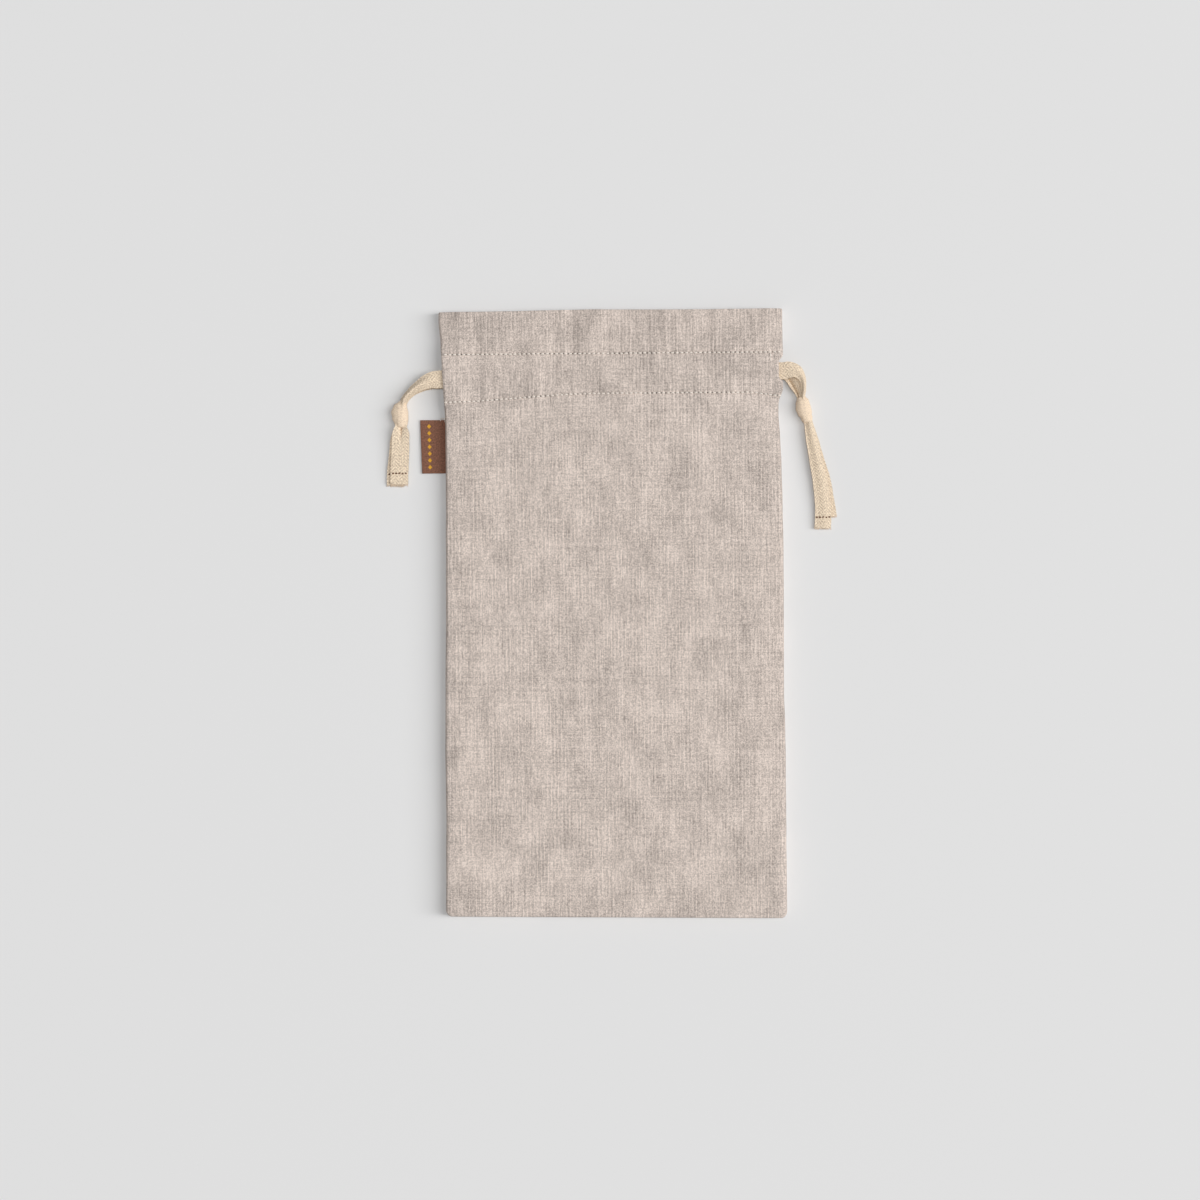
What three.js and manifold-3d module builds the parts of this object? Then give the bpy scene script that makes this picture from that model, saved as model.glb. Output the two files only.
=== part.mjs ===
// A drawstring bread bag of linen, lying empty on its back with the mouth a little open.
// Millimetres. X runs across the bag, Y from the closed bottom to the mouth, Z up from the table.
// The origin is on the table, in the middle of the bag's underside.
import * as THREE from 'three';
import { mergeVertices } from 'three/addons/utils/BufferGeometryUtils.js';
import Module from 'manifold-3d';

const wasm = await Module();
wasm.setup();

// Bag
const BAG_WIDTH = 250;
const BAG_LENGTH = 444;
const CLOTH = 0.6; // one layer of linen
const MOUTH_CLEAR = 8; // free height between the two facings
const EDGE_ROUND = 12; // how far in from a side seam the front reaches its full height
const BOTTOM_ROUND = 16; // the same at the bottom seam
const CORNER_ROUND = 3; // bottom corners, seen from above

// Sewing
const HEADER = 31.6; // mouth edge to the upper stitch row
const HEM = 7; // facing below the lower stitch row
const SEAM_ALLOWANCE = 10;
const SLOT_HEM = 16; // facings end this far from the side seams, where the tapes turn
const SLOT_RISE = 9; // length over which an unsewn slot closes to the seam
const DIP_LEFT = 5.6; // the lower row sags towards the left slot
const DIP_LEFT_RUN = 115;
const DIP_RIGHT = 2.8; // and a little at the right one
const DIP_RIGHT_RUN = 26;
const DIP_FADE = 90; // the sag fades out down the panel
const SEAM_THREAD = 0.6;
const ROW_THREAD = 0.5;
const TAIL_THREAD = 0.4;
const TACK_INSET = 9; // slot tack to the side edge
const TACK_LENGTH = 7;

// Tape
const TAPE_WIDTH = 13;
const TAPE_THICK = 0.6;
const TAPE_APART = 0.4; // between the two tapes in one channel
const LEFT_EXIT_SHIFT = 3.5; // a tape slants to leave near the middle of its slot
const RIGHT_EXIT_SHIFT = -5.6;
const STRAIGHT_OUT = 1.5; // a tape leaves its slot square to the edge

// Label
const LABEL_LENGTH = 16.2; // from the seam to the fold
const LABEL_WIDTH = 39.3; // along the seam
const LABEL_RIBBON = 0.5;
const LABEL_FOLD_GAP = 0.3;
const LABEL_BELOW_MOUTH = 98.6; // mouth edge to the middle of the label

// Knots
const KNOT_WIDTH = 12.7;
const KNOT_HEIGHT = 9.4;
const KNOT_WRAP = 2.6; // width of the turn of tape round the knot
const KNOT_WRAP_TILT = 38; // degrees

// Fits
const CLEAR = 0.3; // between pieces that touch
const WELD = 0.06; // overlap of the layers of one panel where they are pressed together
const ROW_MARGIN = 1.5; // stitch row to tape
const ROW_WELD = 0.5; // half-width of the pressed line under a stitch row

// Worked out from those
const HALF = BAG_WIDTH / 2;
const TOP = BAG_LENGTH / 2;
const BOTTOM = -BAG_LENGTH / 2;
const CHANNEL = 2 * TAPE_WIDTH + TAPE_APART + 2 * ROW_MARGIN;
const UPPER_ROW = TOP - HEADER;
const LOWER_ROW = UPPER_ROW - CHANNEL;
const CHANNEL_GAP = TAPE_THICK + 2 * CLEAR;
const ROW_OPEN = ROW_MARGIN - CLEAR; // distance from a row at which the channel is fully open
const RABBET = SEAM_THREAD + CLEAR; // room for the seam thread at a sewn edge
const GROOVE = ROW_THREAD + 2 * CLEAR; // depth of the pinch that takes a stitch row
const FACED = 2 * CLOTH + CHANNEL_GAP; // thickness of a panel at its channel
const FRONT_TOP = 2 * FACED + MOUTH_CLEAR;
const EDGE_TOP = 4 * CLOTH + CLEAR;
const SEAM_Z = EDGE_TOP / 2;
const SLOT_LOW = LOWER_ROW - ROW_OPEN - SLOT_RISE;
const SLOT_HIGH = UPPER_ROW + ROW_OPEN + SLOT_RISE;
const FRONT_TAPE_Z = FRONT_TOP - CLOTH - CLEAR - TAPE_THICK / 2;
const BACK_TAPE_Z = CLOTH + CLEAR + TAPE_THICK / 2;
const LEFT_RUN_Y = LOWER_ROW + ROW_MARGIN + TAPE_WIDTH / 2;
const RIGHT_RUN_Y = UPPER_ROW - ROW_MARGIN - TAPE_WIDTH / 2;

const { clamp, degToRad, smoothstep } = THREE.MathUtils;

const linen = { color: 0xc9bcb2, roughness: 0.92, metalness: 0 };
const linenThread = { color: 0xd6cabd, roughness: 0.85, metalness: 0 };
const tapeCotton = { color: 0xe2cfb2, roughness: 0.88, metalness: 0 };
const brownThread = { color: 0x7a5a40, roughness: 0.8, metalness: 0 };
const labelRibbon = { color: 0x7d5441, roughness: 0.8, metalness: 0 };

const bag = new THREE.Group();

function addPiece(name, geometry, finish) {
  const mesh = new THREE.Mesh(geometry, new THREE.MeshStandardMaterial(finish));
  mesh.name = name;
  bag.add(mesh);
}

// Solids

function toSolid(geometry) {
  const bare = geometry.clone();
  bare.deleteAttribute('normal');
  bare.deleteAttribute('uv');
  const merged = mergeVertices(bare, 1e-4);
  const vertProperties = new Float32Array(merged.attributes.position.array);
  const triVerts = new Uint32Array(merged.index.array);
  return new wasm.Manifold(new wasm.Mesh({ numProp: 3, vertProperties, triVerts }));
}

function toGeometry(solid) {
  const mesh = solid.getMesh();
  const geometry = new THREE.BufferGeometry();
  geometry.setAttribute('position', new THREE.BufferAttribute(mesh.vertProperties, 3));
  geometry.setIndex(new THREE.BufferAttribute(mesh.triVerts, 1));
  geometry.computeVertexNormals();
  return geometry;
}

function joined(geometries) {
  return toGeometry(geometries.map(toSolid).reduce((whole, next) => whole.add(next)));
}

function indexed(points, index) {
  const geometry = new THREE.BufferGeometry();
  geometry.setFromPoints(points);
  geometry.setIndex(index);
  geometry.computeVertexNormals();
  return geometry;
}

// A closed body through like sections, each a loop of points that runs anticlockwise seen along the route.
function loft(sections) {
  const sides = sections[0].length;
  const index = [];
  for (let step = 0; step + 1 < sections.length; step += 1) {
    for (let side = 0; side < sides; side += 1) {
      const a = step * sides + side;
      const b = step * sides + ((side + 1) % sides);
      index.push(a, b, b + sides, a, b + sides, a + sides);
    }
  }
  const last = (sections.length - 1) * sides;
  for (let side = 1; side + 1 < sides; side += 1) {
    index.push(0, side + 1, side);
    index.push(last, last + side, last + side + 1);
  }
  return indexed(sections.flat(), index);
}

// A thread along a list of points.
function thread(points, thickness, steps) {
  const round = new THREE.Shape();
  round.absarc(0, 0, thickness / 2, 0, 2 * Math.PI, false);
  const path = new THREE.CatmullRomCurve3(points);
  return new THREE.ExtrudeGeometry(round, { steps, extrudePath: path, curveSegments: 4 });
}

// Shape of the bag. A place on a panel is (x, v): v is the height up the cloth, before the sag of the lower row.

function rowDip(x) {
  const left = DIP_LEFT * smoothstep(-x, HALF - DIP_LEFT_RUN, HALF);
  const right = DIP_RIGHT * smoothstep(x, HALF - DIP_RIGHT_RUN, HALF);
  return left + right;
}

function sagged(x, v) {
  const above = (UPPER_ROW - ROW_OPEN - v) / (CHANNEL - 2 * ROW_OPEN);
  const below = (v - LOWER_ROW + ROW_OPEN + DIP_FADE) / DIP_FADE;
  return v - rowDip(x) * clamp(Math.min(above, below), 0, 1);
}

function cornered(v) {
  const up = Math.min(v - BOTTOM, CORNER_ROUND);
  return HALF - CORNER_ROUND + Math.sqrt(CORNER_ROUND ** 2 - (CORNER_ROUND - up) ** 2);
}

function rowDistance(v) {
  return Math.min(Math.abs(v - UPPER_ROW), Math.abs(v - LOWER_ROW));
}

function pinch(v) {
  return clamp((ROW_OPEN - rowDistance(v)) / (ROW_OPEN - ROW_WELD), 0, 1);
}

function channelGap(v) {
  return CHANNEL_GAP * clamp((rowDistance(v) - ROW_WELD) / (ROW_OPEN - ROW_WELD), 0, 1);
}

function roundIn(distance, reach) {
  return 1 - (1 - clamp(distance / reach, 0, 1)) ** 2;
}

function slotOpen(v) {
  const below = smoothstep(v, SLOT_LOW, SLOT_LOW + SLOT_RISE);
  const above = 1 - smoothstep(v, SLOT_HIGH - SLOT_RISE, SLOT_HIGH);
  return below * above;
}

function frontFace(x, v) {
  const side = roundIn(cornered(v) - Math.abs(x), EDGE_ROUND);
  const opened = side + (1 - side) * slotOpen(v);
  const foot = roundIn(v - BOTTOM, BOTTOM_ROUND);
  return EDGE_TOP + (FRONT_TOP - EDGE_TOP) * opened * foot - GROOVE * pinch(v);
}

function backFace(x, v) {
  return GROOVE * pinch(v);
}

// Panels

const byValue = (a, b) => a - b;
const edgeSteps = [0, RABBET, EDGE_ROUND / 4, EDGE_ROUND / 2, EDGE_ROUND, SEAM_ALLOWANCE, SLOT_HEM];
const dipSteps = [1, 2, 3].map((share) => HALF - (DIP_LEFT_RUN * share) / 4);
const reaches = [...edgeSteps.map((inset) => HALF - inset), ...dipSteps];
const footSteps = [0, RABBET, CORNER_ROUND, BOTTOM_ROUND / 3, SEAM_ALLOWANCE, BOTTOM_ROUND];
const rowSteps = [-ROW_OPEN, -ROW_WELD, ROW_WELD, ROW_OPEN];
const middle = (BOTTOM + BOTTOM_ROUND + SLOT_LOW) / 2;
const COLUMNS = [...new Set([0, ...reaches, ...reaches.map((reach) => -reach)])].sort(byValue);
const ROWS = [...new Set([
  ...footSteps.map((up) => BOTTOM + up),
  middle,
  LOWER_ROW - DIP_FADE,
  SLOT_LOW,
  SLOT_LOW + SLOT_RISE / 2,
  LOWER_ROW - HEM,
  ...rowSteps.map((off) => LOWER_ROW + off),
  (LOWER_ROW + UPPER_ROW) / 2,
  ...rowSteps.map((off) => UPPER_ROW + off),
  SLOT_HIGH - SLOT_RISE / 2,
  SLOT_HIGH,
  TOP,
])].sort(byValue);

const within = (list, from, to) => list.filter((value) => value >= from && value <= to);

// One layer of a panel over a window of the cloth, between two depths in from its outer face.
function layer(panel, [left, right], [low, high], near, far) {
  const columns = within(COLUMNS, left, right);
  const rows = within(ROWS, low, high);
  const upper = panel.inward > 0 ? far : near;
  const lower = panel.inward > 0 ? near : far;
  const points = [];
  for (const depth of [upper, lower]) {
    for (const v of rows) {
      for (const column of columns) {
        const x = (column * cornered(v)) / HALF;
        points.push(new THREE.Vector3(x, sagged(x, v), panel.face(x, v) + panel.inward * depth(v)));
      }
    }
  }
  const across = columns.length;
  const under = across * rows.length;
  const index = [];
  for (let r = 0; r + 1 < rows.length; r += 1) {
    for (let c = 0; c + 1 < across; c += 1) {
      const a = r * across + c;
      const b = a + 1;
      const d = a + across;
      const e = d + 1;
      index.push(a, b, e, a, e, d);
      index.push(under + a, under + e, under + b, under + a, under + d, under + e);
    }
  }
  const wall = (a, b) => index.push(a, under + a, under + b, a, under + b, b);
  const lastRow = under - across;
  for (let c = 0; c + 1 < across; c += 1) {
    wall(c, c + 1);
    wall(lastRow + c + 1, lastRow + c);
  }
  for (let r = 0; r + 1 < rows.length; r += 1) {
    wall((r + 1) * across, r * across);
    wall((r + 1) * across - 1, (r + 2) * across - 1);
  }
  return indexed(points, index);
}

// A panel: one layer all over, with its edges turned in at the seams and its top turned down as a facing
// that is sewn on along two rows. Between the rows the facing stands off as the channel, and it ends short
// of the sides so that the tapes can turn and leave.
function panelSolid(panel) {
  const all = [-HALF, HALF];
  const sewn = [-HALF + RABBET, HALF - RABBET];
  const leftSeam = [-HALF + RABBET, -HALF + SEAM_ALLOWANCE];
  const rightSeam = [HALF - SEAM_ALLOWANCE, HALF - RABBET];
  const slots = [-HALF + SLOT_HEM, HALF - SLOT_HEM];
  const sideSeam = [BOTTOM + RABBET, SLOT_LOW];
  const outside = () => 0;
  const inside = () => CLOTH;
  const turned = () => CLOTH - WELD;
  const doubled = () => 2 * CLOTH;
  const facingNear = (v) => CLOTH - WELD + channelGap(v);
  const facingFar = (v) => 2 * CLOTH + channelGap(v);
  return joined([
    layer(panel, all, [BOTTOM, TOP], outside, inside),
    layer(panel, sewn, [UPPER_ROW - ROW_WELD, TOP], turned, doubled),
    layer(panel, slots, [LOWER_ROW - ROW_WELD, UPPER_ROW + ROW_WELD], facingNear, facingFar),
    layer(panel, sewn, [LOWER_ROW - HEM, LOWER_ROW + ROW_WELD], turned, doubled),
    layer(panel, leftSeam, sideSeam, turned, doubled),
    layer(panel, rightSeam, sideSeam, turned, doubled),
    layer(panel, sewn, [BOTTOM + RABBET, BOTTOM + SEAM_ALLOWANCE], turned, doubled),
  ]);
}

const frontPanel = { face: frontFace, inward: -1 };
const backPanel = { face: backFace, inward: 1 };

function addPanels() {
  addPiece('front_panel', panelSolid(frontPanel), linen);
  addPiece('back_panel', panelSolid(backPanel), linen);
}

// Seams and stitch rows

function addSeams() {
  const inset = CLEAR / 2 + SEAM_THREAD / 2;
  const seam = (points) => thread(points, SEAM_THREAD, points.length - 1);
  for (const [side, name] of [[-1, 'left'], [1, 'right']]) {
    const x = side * (HALF - inset);
    const at = (v) => new THREE.Vector3(x, sagged(x, v), SEAM_Z);
    const low = BOTTOM + CORNER_ROUND + SEAM_THREAD;
    const fade = LOWER_ROW - DIP_FADE;
    addPiece(`${name}_side_seam`, seam([at(low), at(fade), at(SLOT_LOW - CLEAR)]), linenThread);
    addPiece(`${name}_header_seam`, seam([at(SLOT_HIGH + CLEAR), at(TOP - CLEAR)]), linenThread);
  }
  const y = BOTTOM + inset;
  const end = HALF - CORNER_ROUND - SEAM_THREAD;
  const ends = [new THREE.Vector3(-end, y, SEAM_Z), new THREE.Vector3(end, y, SEAM_Z)];
  addPiece('bottom_seam', seam(ends), linenThread);
}

function addRows() {
  const end = HALF - CLEAR;
  const stops = within(COLUMNS, -end, end);
  const off = CLEAR + ROW_THREAD / 2;
  for (const [panel, name] of [[frontPanel, 'front'], [backPanel, 'back']]) {
    for (const [row, level] of [[UPPER_ROW, 'upper'], [LOWER_ROW, 'lower']]) {
      const place = (x) => new THREE.Vector3(x, sagged(x, row), panel.face(x, row) - panel.inward * off);
      addPiece(`${name}_${level}_row`, thread(stops.map(place), ROW_THREAD, stops.length - 1), linenThread);
    }
  }
}

function addSlotTack() {
  const x = HALF - TACK_INSET;
  const high = UPPER_ROW - ROW_OPEN;
  const z = FRONT_TOP + CLEAR + ROW_THREAD / 2;
  const ends = [new THREE.Vector3(x, high, z), new THREE.Vector3(x, high - TACK_LENGTH, z)];
  addPiece('right_slot_tack', thread(ends, ROW_THREAD, 1), linenThread);
}

// Label: a ribbon folded in two, with its cut ends at the left side seam

function addLabel() {
  const fold = LABEL_RIBBON + LABEL_FOLD_GAP / 2;
  const slit = LABEL_FOLD_GAP / 2;
  const tip = LABEL_LENGTH - fold;
  const profile = new THREE.Shape();
  profile.moveTo(CLEAR, -fold);
  profile.lineTo(tip, -fold);
  profile.absarc(tip, 0, fold, -Math.PI / 2, Math.PI / 2, false);
  profile.lineTo(CLEAR, fold);
  profile.lineTo(CLEAR, slit);
  profile.lineTo(tip, slit);
  profile.absarc(tip, 0, slit, Math.PI / 2, -Math.PI / 2, true);
  profile.lineTo(CLEAR, -slit);
  const ribbon = new THREE.ExtrudeGeometry(profile, {
    depth: LABEL_WIDTH,
    bevelEnabled: false,
    curveSegments: 6,
  });
  const outward = new THREE.Vector3(-1, 0, 0);
  const up = new THREE.Vector3(0, 0, 1);
  const along = new THREE.Vector3(0, 1, 0);
  const turn = new THREE.Matrix4().makeBasis(outward, up, along);
  const start = TOP - LABEL_BELOW_MOUTH - LABEL_WIDTH / 2;
  ribbon.applyMatrix4(turn);
  ribbon.translate(-HALF, start, SEAM_Z);
  addPiece('side_label', ribbon, labelRibbon);
}

// Drawstrings

// The run of one tape: in by its own slot along the front channel, round at the far slot, back along the
// back channel. outward is -1 for the string that leaves on the left and 1 for the right one.
function runSolid(outward, runY, exitY) {
  const turnX = HALF - SLOT_HEM + CLEAR;
  const turnZ = (FRONT_TAPE_Z + BACK_TAPE_Z) / 2;
  const turnRadius = (FRONT_TAPE_Z - BACK_TAPE_Z) / 2;
  const slantX = turnX + turnRadius + TAPE_THICK / 2 + CLEAR;
  const endX = HALF - CLEAR;
  const stops = [
    { x: endX, y: exitY, z: FRONT_TAPE_Z, lean: 0 },
    { x: slantX, y: runY, z: FRONT_TAPE_Z, lean: 0 },
  ];
  const turnSteps = 8;
  for (let step = 0; step <= turnSteps; step += 1) {
    const lean = (Math.PI * step) / turnSteps;
    const x = -turnX - turnRadius * Math.sin(lean);
    stops.push({ x, y: runY, z: turnZ + turnRadius * Math.cos(lean), lean });
  }
  stops.push({ x: slantX, y: runY, z: BACK_TAPE_Z, lean: Math.PI });
  stops.push({ x: endX, y: exitY, z: BACK_TAPE_Z, lean: Math.PI });
  const wide = new THREE.Vector3(0, -outward * TAPE_WIDTH / 2, 0);
  return loft(stops.map(({ x, y, z, lean }) => {
    const centre = new THREE.Vector3(outward * x, y, z);
    const thick = new THREE.Vector3(-outward * Math.sin(lean), 0, Math.cos(lean));
    return ribbonCorners(centre, wide, thick.multiplyScalar(TAPE_THICK / 2));
  }));
}

function ribbonCorners(centre, wide, thick) {
  const corner = (w, t) => centre.clone().addScaledVector(wide, w).addScaledVector(thick, t);
  return [corner(-1, -1), corner(1, -1), corner(1, 1), corner(-1, 1)];
}

// A free stretch of tape. Each stop gives how far out from the side edge and how far up from the middle of
// the slot it lies, its height, the width and thickness to which the tape is bunched, and its roll in degrees.
function freeTape(outward, exitY, stops, steps) {
  const places = stops.map((stop) => new THREE.Vector3(outward * (HALF + stop.out), exitY + stop.up, stop.z));
  const route = new THREE.CatmullRomCurve3(places);
  const up = new THREE.Vector3(0, 0, 1);
  const sections = [];
  for (let step = 0; step <= steps; step += 1) {
    const t = step / steps;
    const from = Math.min(Math.floor(t * (stops.length - 1)), stops.length - 2);
    const share = t * (stops.length - 1) - from;
    const mixed = (key) => THREE.MathUtils.lerp(stops[from][key], stops[from + 1][key], share);
    const along = route.getTangent(t);
    const wide = new THREE.Vector3().crossVectors(up, along).normalize();
    wide.applyAxisAngle(along, degToRad(outward * mixed('roll')));
    const thick = new THREE.Vector3().crossVectors(along, wide);
    wide.multiplyScalar(mixed('wide') / 2);
    thick.multiplyScalar(mixed('thick') / 2);
    sections.push(ribbonCorners(route.getPoint(t), wide, thick));
  }
  return loft(sections);
}

// An overhand knot of both strands: a bulb drawn in at its ends, with one turn of the tape slanting round it.
function knotSolid(top, bottom) {
  const bulge = [0.42, 0.72, 0.94, 1, 0.94, 0.74, 0.46];
  const sides = 14;
  const axis = new THREE.Vector3().subVectors(bottom, top);
  const along = axis.clone().normalize();
  const up = new THREE.Vector3(0, 0, 1);
  const across = new THREE.Vector3().crossVectors(up, along).normalize();
  const rise = new THREE.Vector3().crossVectors(along, across);
  const rings = bulge.map((share, ring) => {
    const centre = top.clone().addScaledVector(axis, ring / (bulge.length - 1));
    const points = [];
    for (let side = 0; side < sides; side += 1) {
      const angle = (2 * Math.PI * side) / sides;
      const point = centre.clone();
      point.addScaledVector(across, (share * Math.cos(angle) * KNOT_WIDTH) / 2);
      point.addScaledVector(rise, (share * Math.sin(angle) * KNOT_HEIGHT) / 2);
      points.push(point);
    }
    return points;
  });
  const wrap = new THREE.TorusGeometry(1, KNOT_WRAP / KNOT_WIDTH, 8, 20);
  wrap.rotateX(degToRad(KNOT_WRAP_TILT));
  const inset = 1 - KNOT_WRAP / KNOT_WIDTH;
  const placed = new THREE.Matrix4().makeBasis(
    across.clone().multiplyScalar((inset * KNOT_WIDTH) / 2),
    rise.clone().multiplyScalar((inset * KNOT_HEIGHT) / 2),
    along.clone().multiplyScalar(KNOT_WIDTH / 2),
  );
  placed.setPosition(top.clone().lerp(bottom, 0.5));
  wrap.applyMatrix4(placed);
  return joined([loft(rings), wrap]);
}

// Brown stitches across a tail, where its folded end is sewn down.
function tailStitch(outward, exitY, { out, up, z, wide, lean }) {
  const centre = new THREE.Vector3(outward * (HALF + out), exitY + up, z);
  const reach = wide / 2 - CLEAR;
  const along = new THREE.Vector3(Math.cos(degToRad(lean)), Math.sin(degToRad(lean)), 0);
  const ends = [-reach, reach].map((off) => centre.clone().addScaledVector(along, off));
  return thread(ends, TAIL_THREAD, 1);
}

function addDrawstring(name, outward, runY, exitY, routes) {
  const at = ({ out, up, z }) => new THREE.Vector3(outward * (HALF + out), exitY + up, z);
  addPiece(`${name}_drawstring_run`, runSolid(outward, runY, exitY), tapeCotton);
  addPiece(`${name}_front_strand`, freeTape(outward, exitY, routes.frontStrand, 14), tapeCotton);
  addPiece(`${name}_rear_strand`, freeTape(outward, exitY, routes.rearStrand, 14), tapeCotton);
  addPiece(`${name}_knot`, knotSolid(at(routes.knotTop), at(routes.knotBottom)), tapeCotton);
  addPiece(`${name}_front_tail`, freeTape(outward, exitY, routes.frontTail, 16), tapeCotton);
  addPiece(`${name}_rear_tail`, freeTape(outward, exitY, routes.rearTail, 16), tapeCotton);
  addPiece(`${name}_front_tail_stitch`, tailStitch(outward, exitY, routes.frontStitch), brownThread);
  addPiece(`${name}_rear_tail_stitch`, tailStitch(outward, exitY, routes.rearStitch), brownThread);
}

const flat = { wide: TAPE_WIDTH, thick: TAPE_THICK, roll: 0 };
const hemmed = { wide: TAPE_WIDTH, thick: 2 * TAPE_THICK, roll: 0 };

const leftRoutes = {
  frontStrand: [
    { out: 0, up: 0, z: FRONT_TAPE_Z, ...flat },
    { out: STRAIGHT_OUT, up: 0, z: FRONT_TAPE_Z, ...flat },
    { out: 8.3, up: -0.6, z: 10.9, wide: 12.6, thick: 0.7, roll: 6 },
    { out: 17.1, up: -4.4, z: 9.3, wide: 9.2, thick: 1.1, roll: 12 },
    { out: 23.8, up: -9.4, z: 7.8, wide: 6.6, thick: 1.6, roll: 6 },
    { out: 28.2, up: -15.2, z: 6.5, wide: 5, thick: 2, roll: 0 },
  ],
  rearStrand: [
    { out: 0, up: 0, z: BACK_TAPE_Z, ...flat },
    { out: STRAIGHT_OUT, up: 0, z: BACK_TAPE_Z, ...flat },
    { out: 8.3, up: -0.6, z: 1.3, wide: 12.6, thick: 0.7, roll: 0 },
    { out: 17.1, up: -4.4, z: 1.8, wide: 9.2, thick: 1.1, roll: 0 },
    { out: 23.8, up: -9.4, z: 2.6, wide: 6.6, thick: 1.6, roll: 0 },
    { out: 28.2, up: -15.2, z: 3.4, wide: 5, thick: 2, roll: 0 },
  ],
  knotTop: { out: 29.1, up: -16.2, z: 4.9 },
  knotBottom: { out: 31.1, up: -33.6, z: 4.9 },
  frontTail: [
    { out: 31.1, up: -34.3, z: 6.2, wide: 5.6, thick: 2, roll: 0 },
    { out: 30.9, up: -40.5, z: 4.6, wide: 10.6, thick: 0.9, roll: 0 },
    { out: 31.1, up: -48.5, z: 3.6, ...flat },
    { out: 31.7, up: -60, z: 3.1, ...flat },
    { out: 32.1, up: -67.3, z: 3.1, ...flat },
    { out: 32.1, up: -68, z: 3.1, ...hemmed },
    { out: 32.5, up: -77.2, z: 3.1, ...hemmed },
  ],
  rearTail: [
    { out: 31.3, up: -34.3, z: 3.5, wide: 5.6, thick: 2, roll: 0 },
    { out: 31.7, up: -40.5, z: 1.8, wide: 10.6, thick: 0.9, roll: 0 },
    { out: 32.5, up: -48.5, z: 0.8, ...flat },
    { out: 33.9, up: -60, z: 0.8, ...flat },
    { out: 34.7, up: -66.8, z: 0.8, ...flat },
    { out: 34.8, up: -67.5, z: 0.9, ...hemmed },
    { out: 35.5, up: -76.3, z: 0.9, ...hemmed },
  ],
  frontStitch: { out: 32.1, up: -68.6, z: 4.2, wide: TAPE_WIDTH, lean: 0 },
  rearStitch: { out: 34.9, up: -68.3, z: 2, wide: TAPE_WIDTH, lean: 0 },
};

const rightRoutes = {
  frontStrand: [
    { out: 0, up: 0, z: FRONT_TAPE_Z, ...flat },
    { out: STRAIGHT_OUT, up: 0, z: FRONT_TAPE_Z, ...flat },
    { out: 4.4, up: 0.5, z: 11.6, wide: 12.4, thick: 0.7, roll: 0 },
    { out: 10.8, up: -1.4, z: 11.1, wide: 10, thick: 1, roll: -14 },
    { out: 14.7, up: -6.4, z: 9.7, wide: 7, thick: 1.4, roll: -24 },
    { out: 15.1, up: -12.6, z: 7.9, wide: 5.4, thick: 1.8, roll: -12 },
    { out: 14.5, up: -19.2, z: 6.5, wide: 5, thick: 2, roll: 0 },
  ],
  rearStrand: [
    { out: 0, up: 0, z: BACK_TAPE_Z, ...flat },
    { out: STRAIGHT_OUT, up: 0, z: BACK_TAPE_Z, ...flat },
    { out: 4.8, up: -1.4, z: 1.3, wide: 9, thick: 0.9, roll: 0 },
    { out: 7.4, up: -6, z: 1.7, wide: 6.4, thick: 1.3, roll: 6 },
    { out: 10.2, up: -13, z: 2.6, wide: 5.6, thick: 1.7, roll: 6 },
    { out: 13.2, up: -19.4, z: 3.4, wide: 5, thick: 2, roll: 0 },
  ],
  knotTop: { out: 13.9, up: -20.4, z: 4.9 },
  knotBottom: { out: 17.9, up: -36.3, z: 4.9 },
  frontTail: [
    { out: 18.3, up: -37.1, z: 6.2, wide: 6.2, thick: 1.8, roll: 0 },
    { out: 20.9, up: -49.5, z: 4.6, wide: 8.8, thick: 1.2, roll: 0 },
    { out: 24.2, up: -65.6, z: 3.7, wide: 10.4, thick: 0.9, roll: 0 },
    { out: 27, up: -80.4, z: 3.2, wide: 11.6, thick: 0.7, roll: 0 },
    { out: 29.1, up: -97.3, z: 3.1, wide: 12.4, thick: TAPE_THICK, roll: 0 },
    { out: 29.3, up: -105.3, z: 3.1, wide: 12.4, thick: TAPE_THICK, roll: 0 },
    { out: 29.3, up: -106, z: 3.1, wide: 12.4, thick: 2 * TAPE_THICK, roll: 0 },
    { out: 29, up: -115.3, z: 3.1, wide: 12.4, thick: 2 * TAPE_THICK, roll: 0 },
  ],
  rearTail: [
    { out: 18.5, up: -37.1, z: 3.5, wide: 6.2, thick: 1.8, roll: 0 },
    { out: 21.6, up: -49.5, z: 2, wide: 8.8, thick: 1.2, roll: 0 },
    { out: 25.4, up: -65.6, z: 0.9, wide: 10.4, thick: 0.9, roll: 0 },
    { out: 29.2, up: -80.4, z: 0.8, wide: 11.6, thick: 0.7, roll: 0 },
    { out: 31.8, up: -97, z: 0.8, wide: 12.4, thick: TAPE_THICK, roll: 0 },
    { out: 31.9, up: -97.7, z: 0.9, wide: 12.4, thick: 2 * TAPE_THICK, roll: 0 },
    { out: 33.2, up: -107, z: 0.9, wide: 12.4, thick: 2 * TAPE_THICK, roll: 0 },
  ],
  frontStitch: { out: 29.3, up: -106.6, z: 4.2, wide: TAPE_WIDTH, lean: 0 },
  rearStitch: { out: 32.1, up: -98.4, z: 2, wide: TAPE_WIDTH, lean: 0 },
};

addPanels();
addSeams();
addRows();
addSlotTack();
addLabel();
addDrawstring('left', -1, LEFT_RUN_Y, LEFT_RUN_Y + LEFT_EXIT_SHIFT, leftRoutes);
addDrawstring('right', 1, RIGHT_RUN_Y, RIGHT_RUN_Y + RIGHT_EXIT_SHIFT, rightRoutes);

export default bag;
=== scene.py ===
"""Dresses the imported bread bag: linen panels, stitches, knotted tapes, a side label and a plain stage."""
import math
import random

import bpy
from bpy.props import FloatProperty, FloatVectorProperty, PointerProperty
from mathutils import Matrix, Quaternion, Vector, noise


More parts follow.
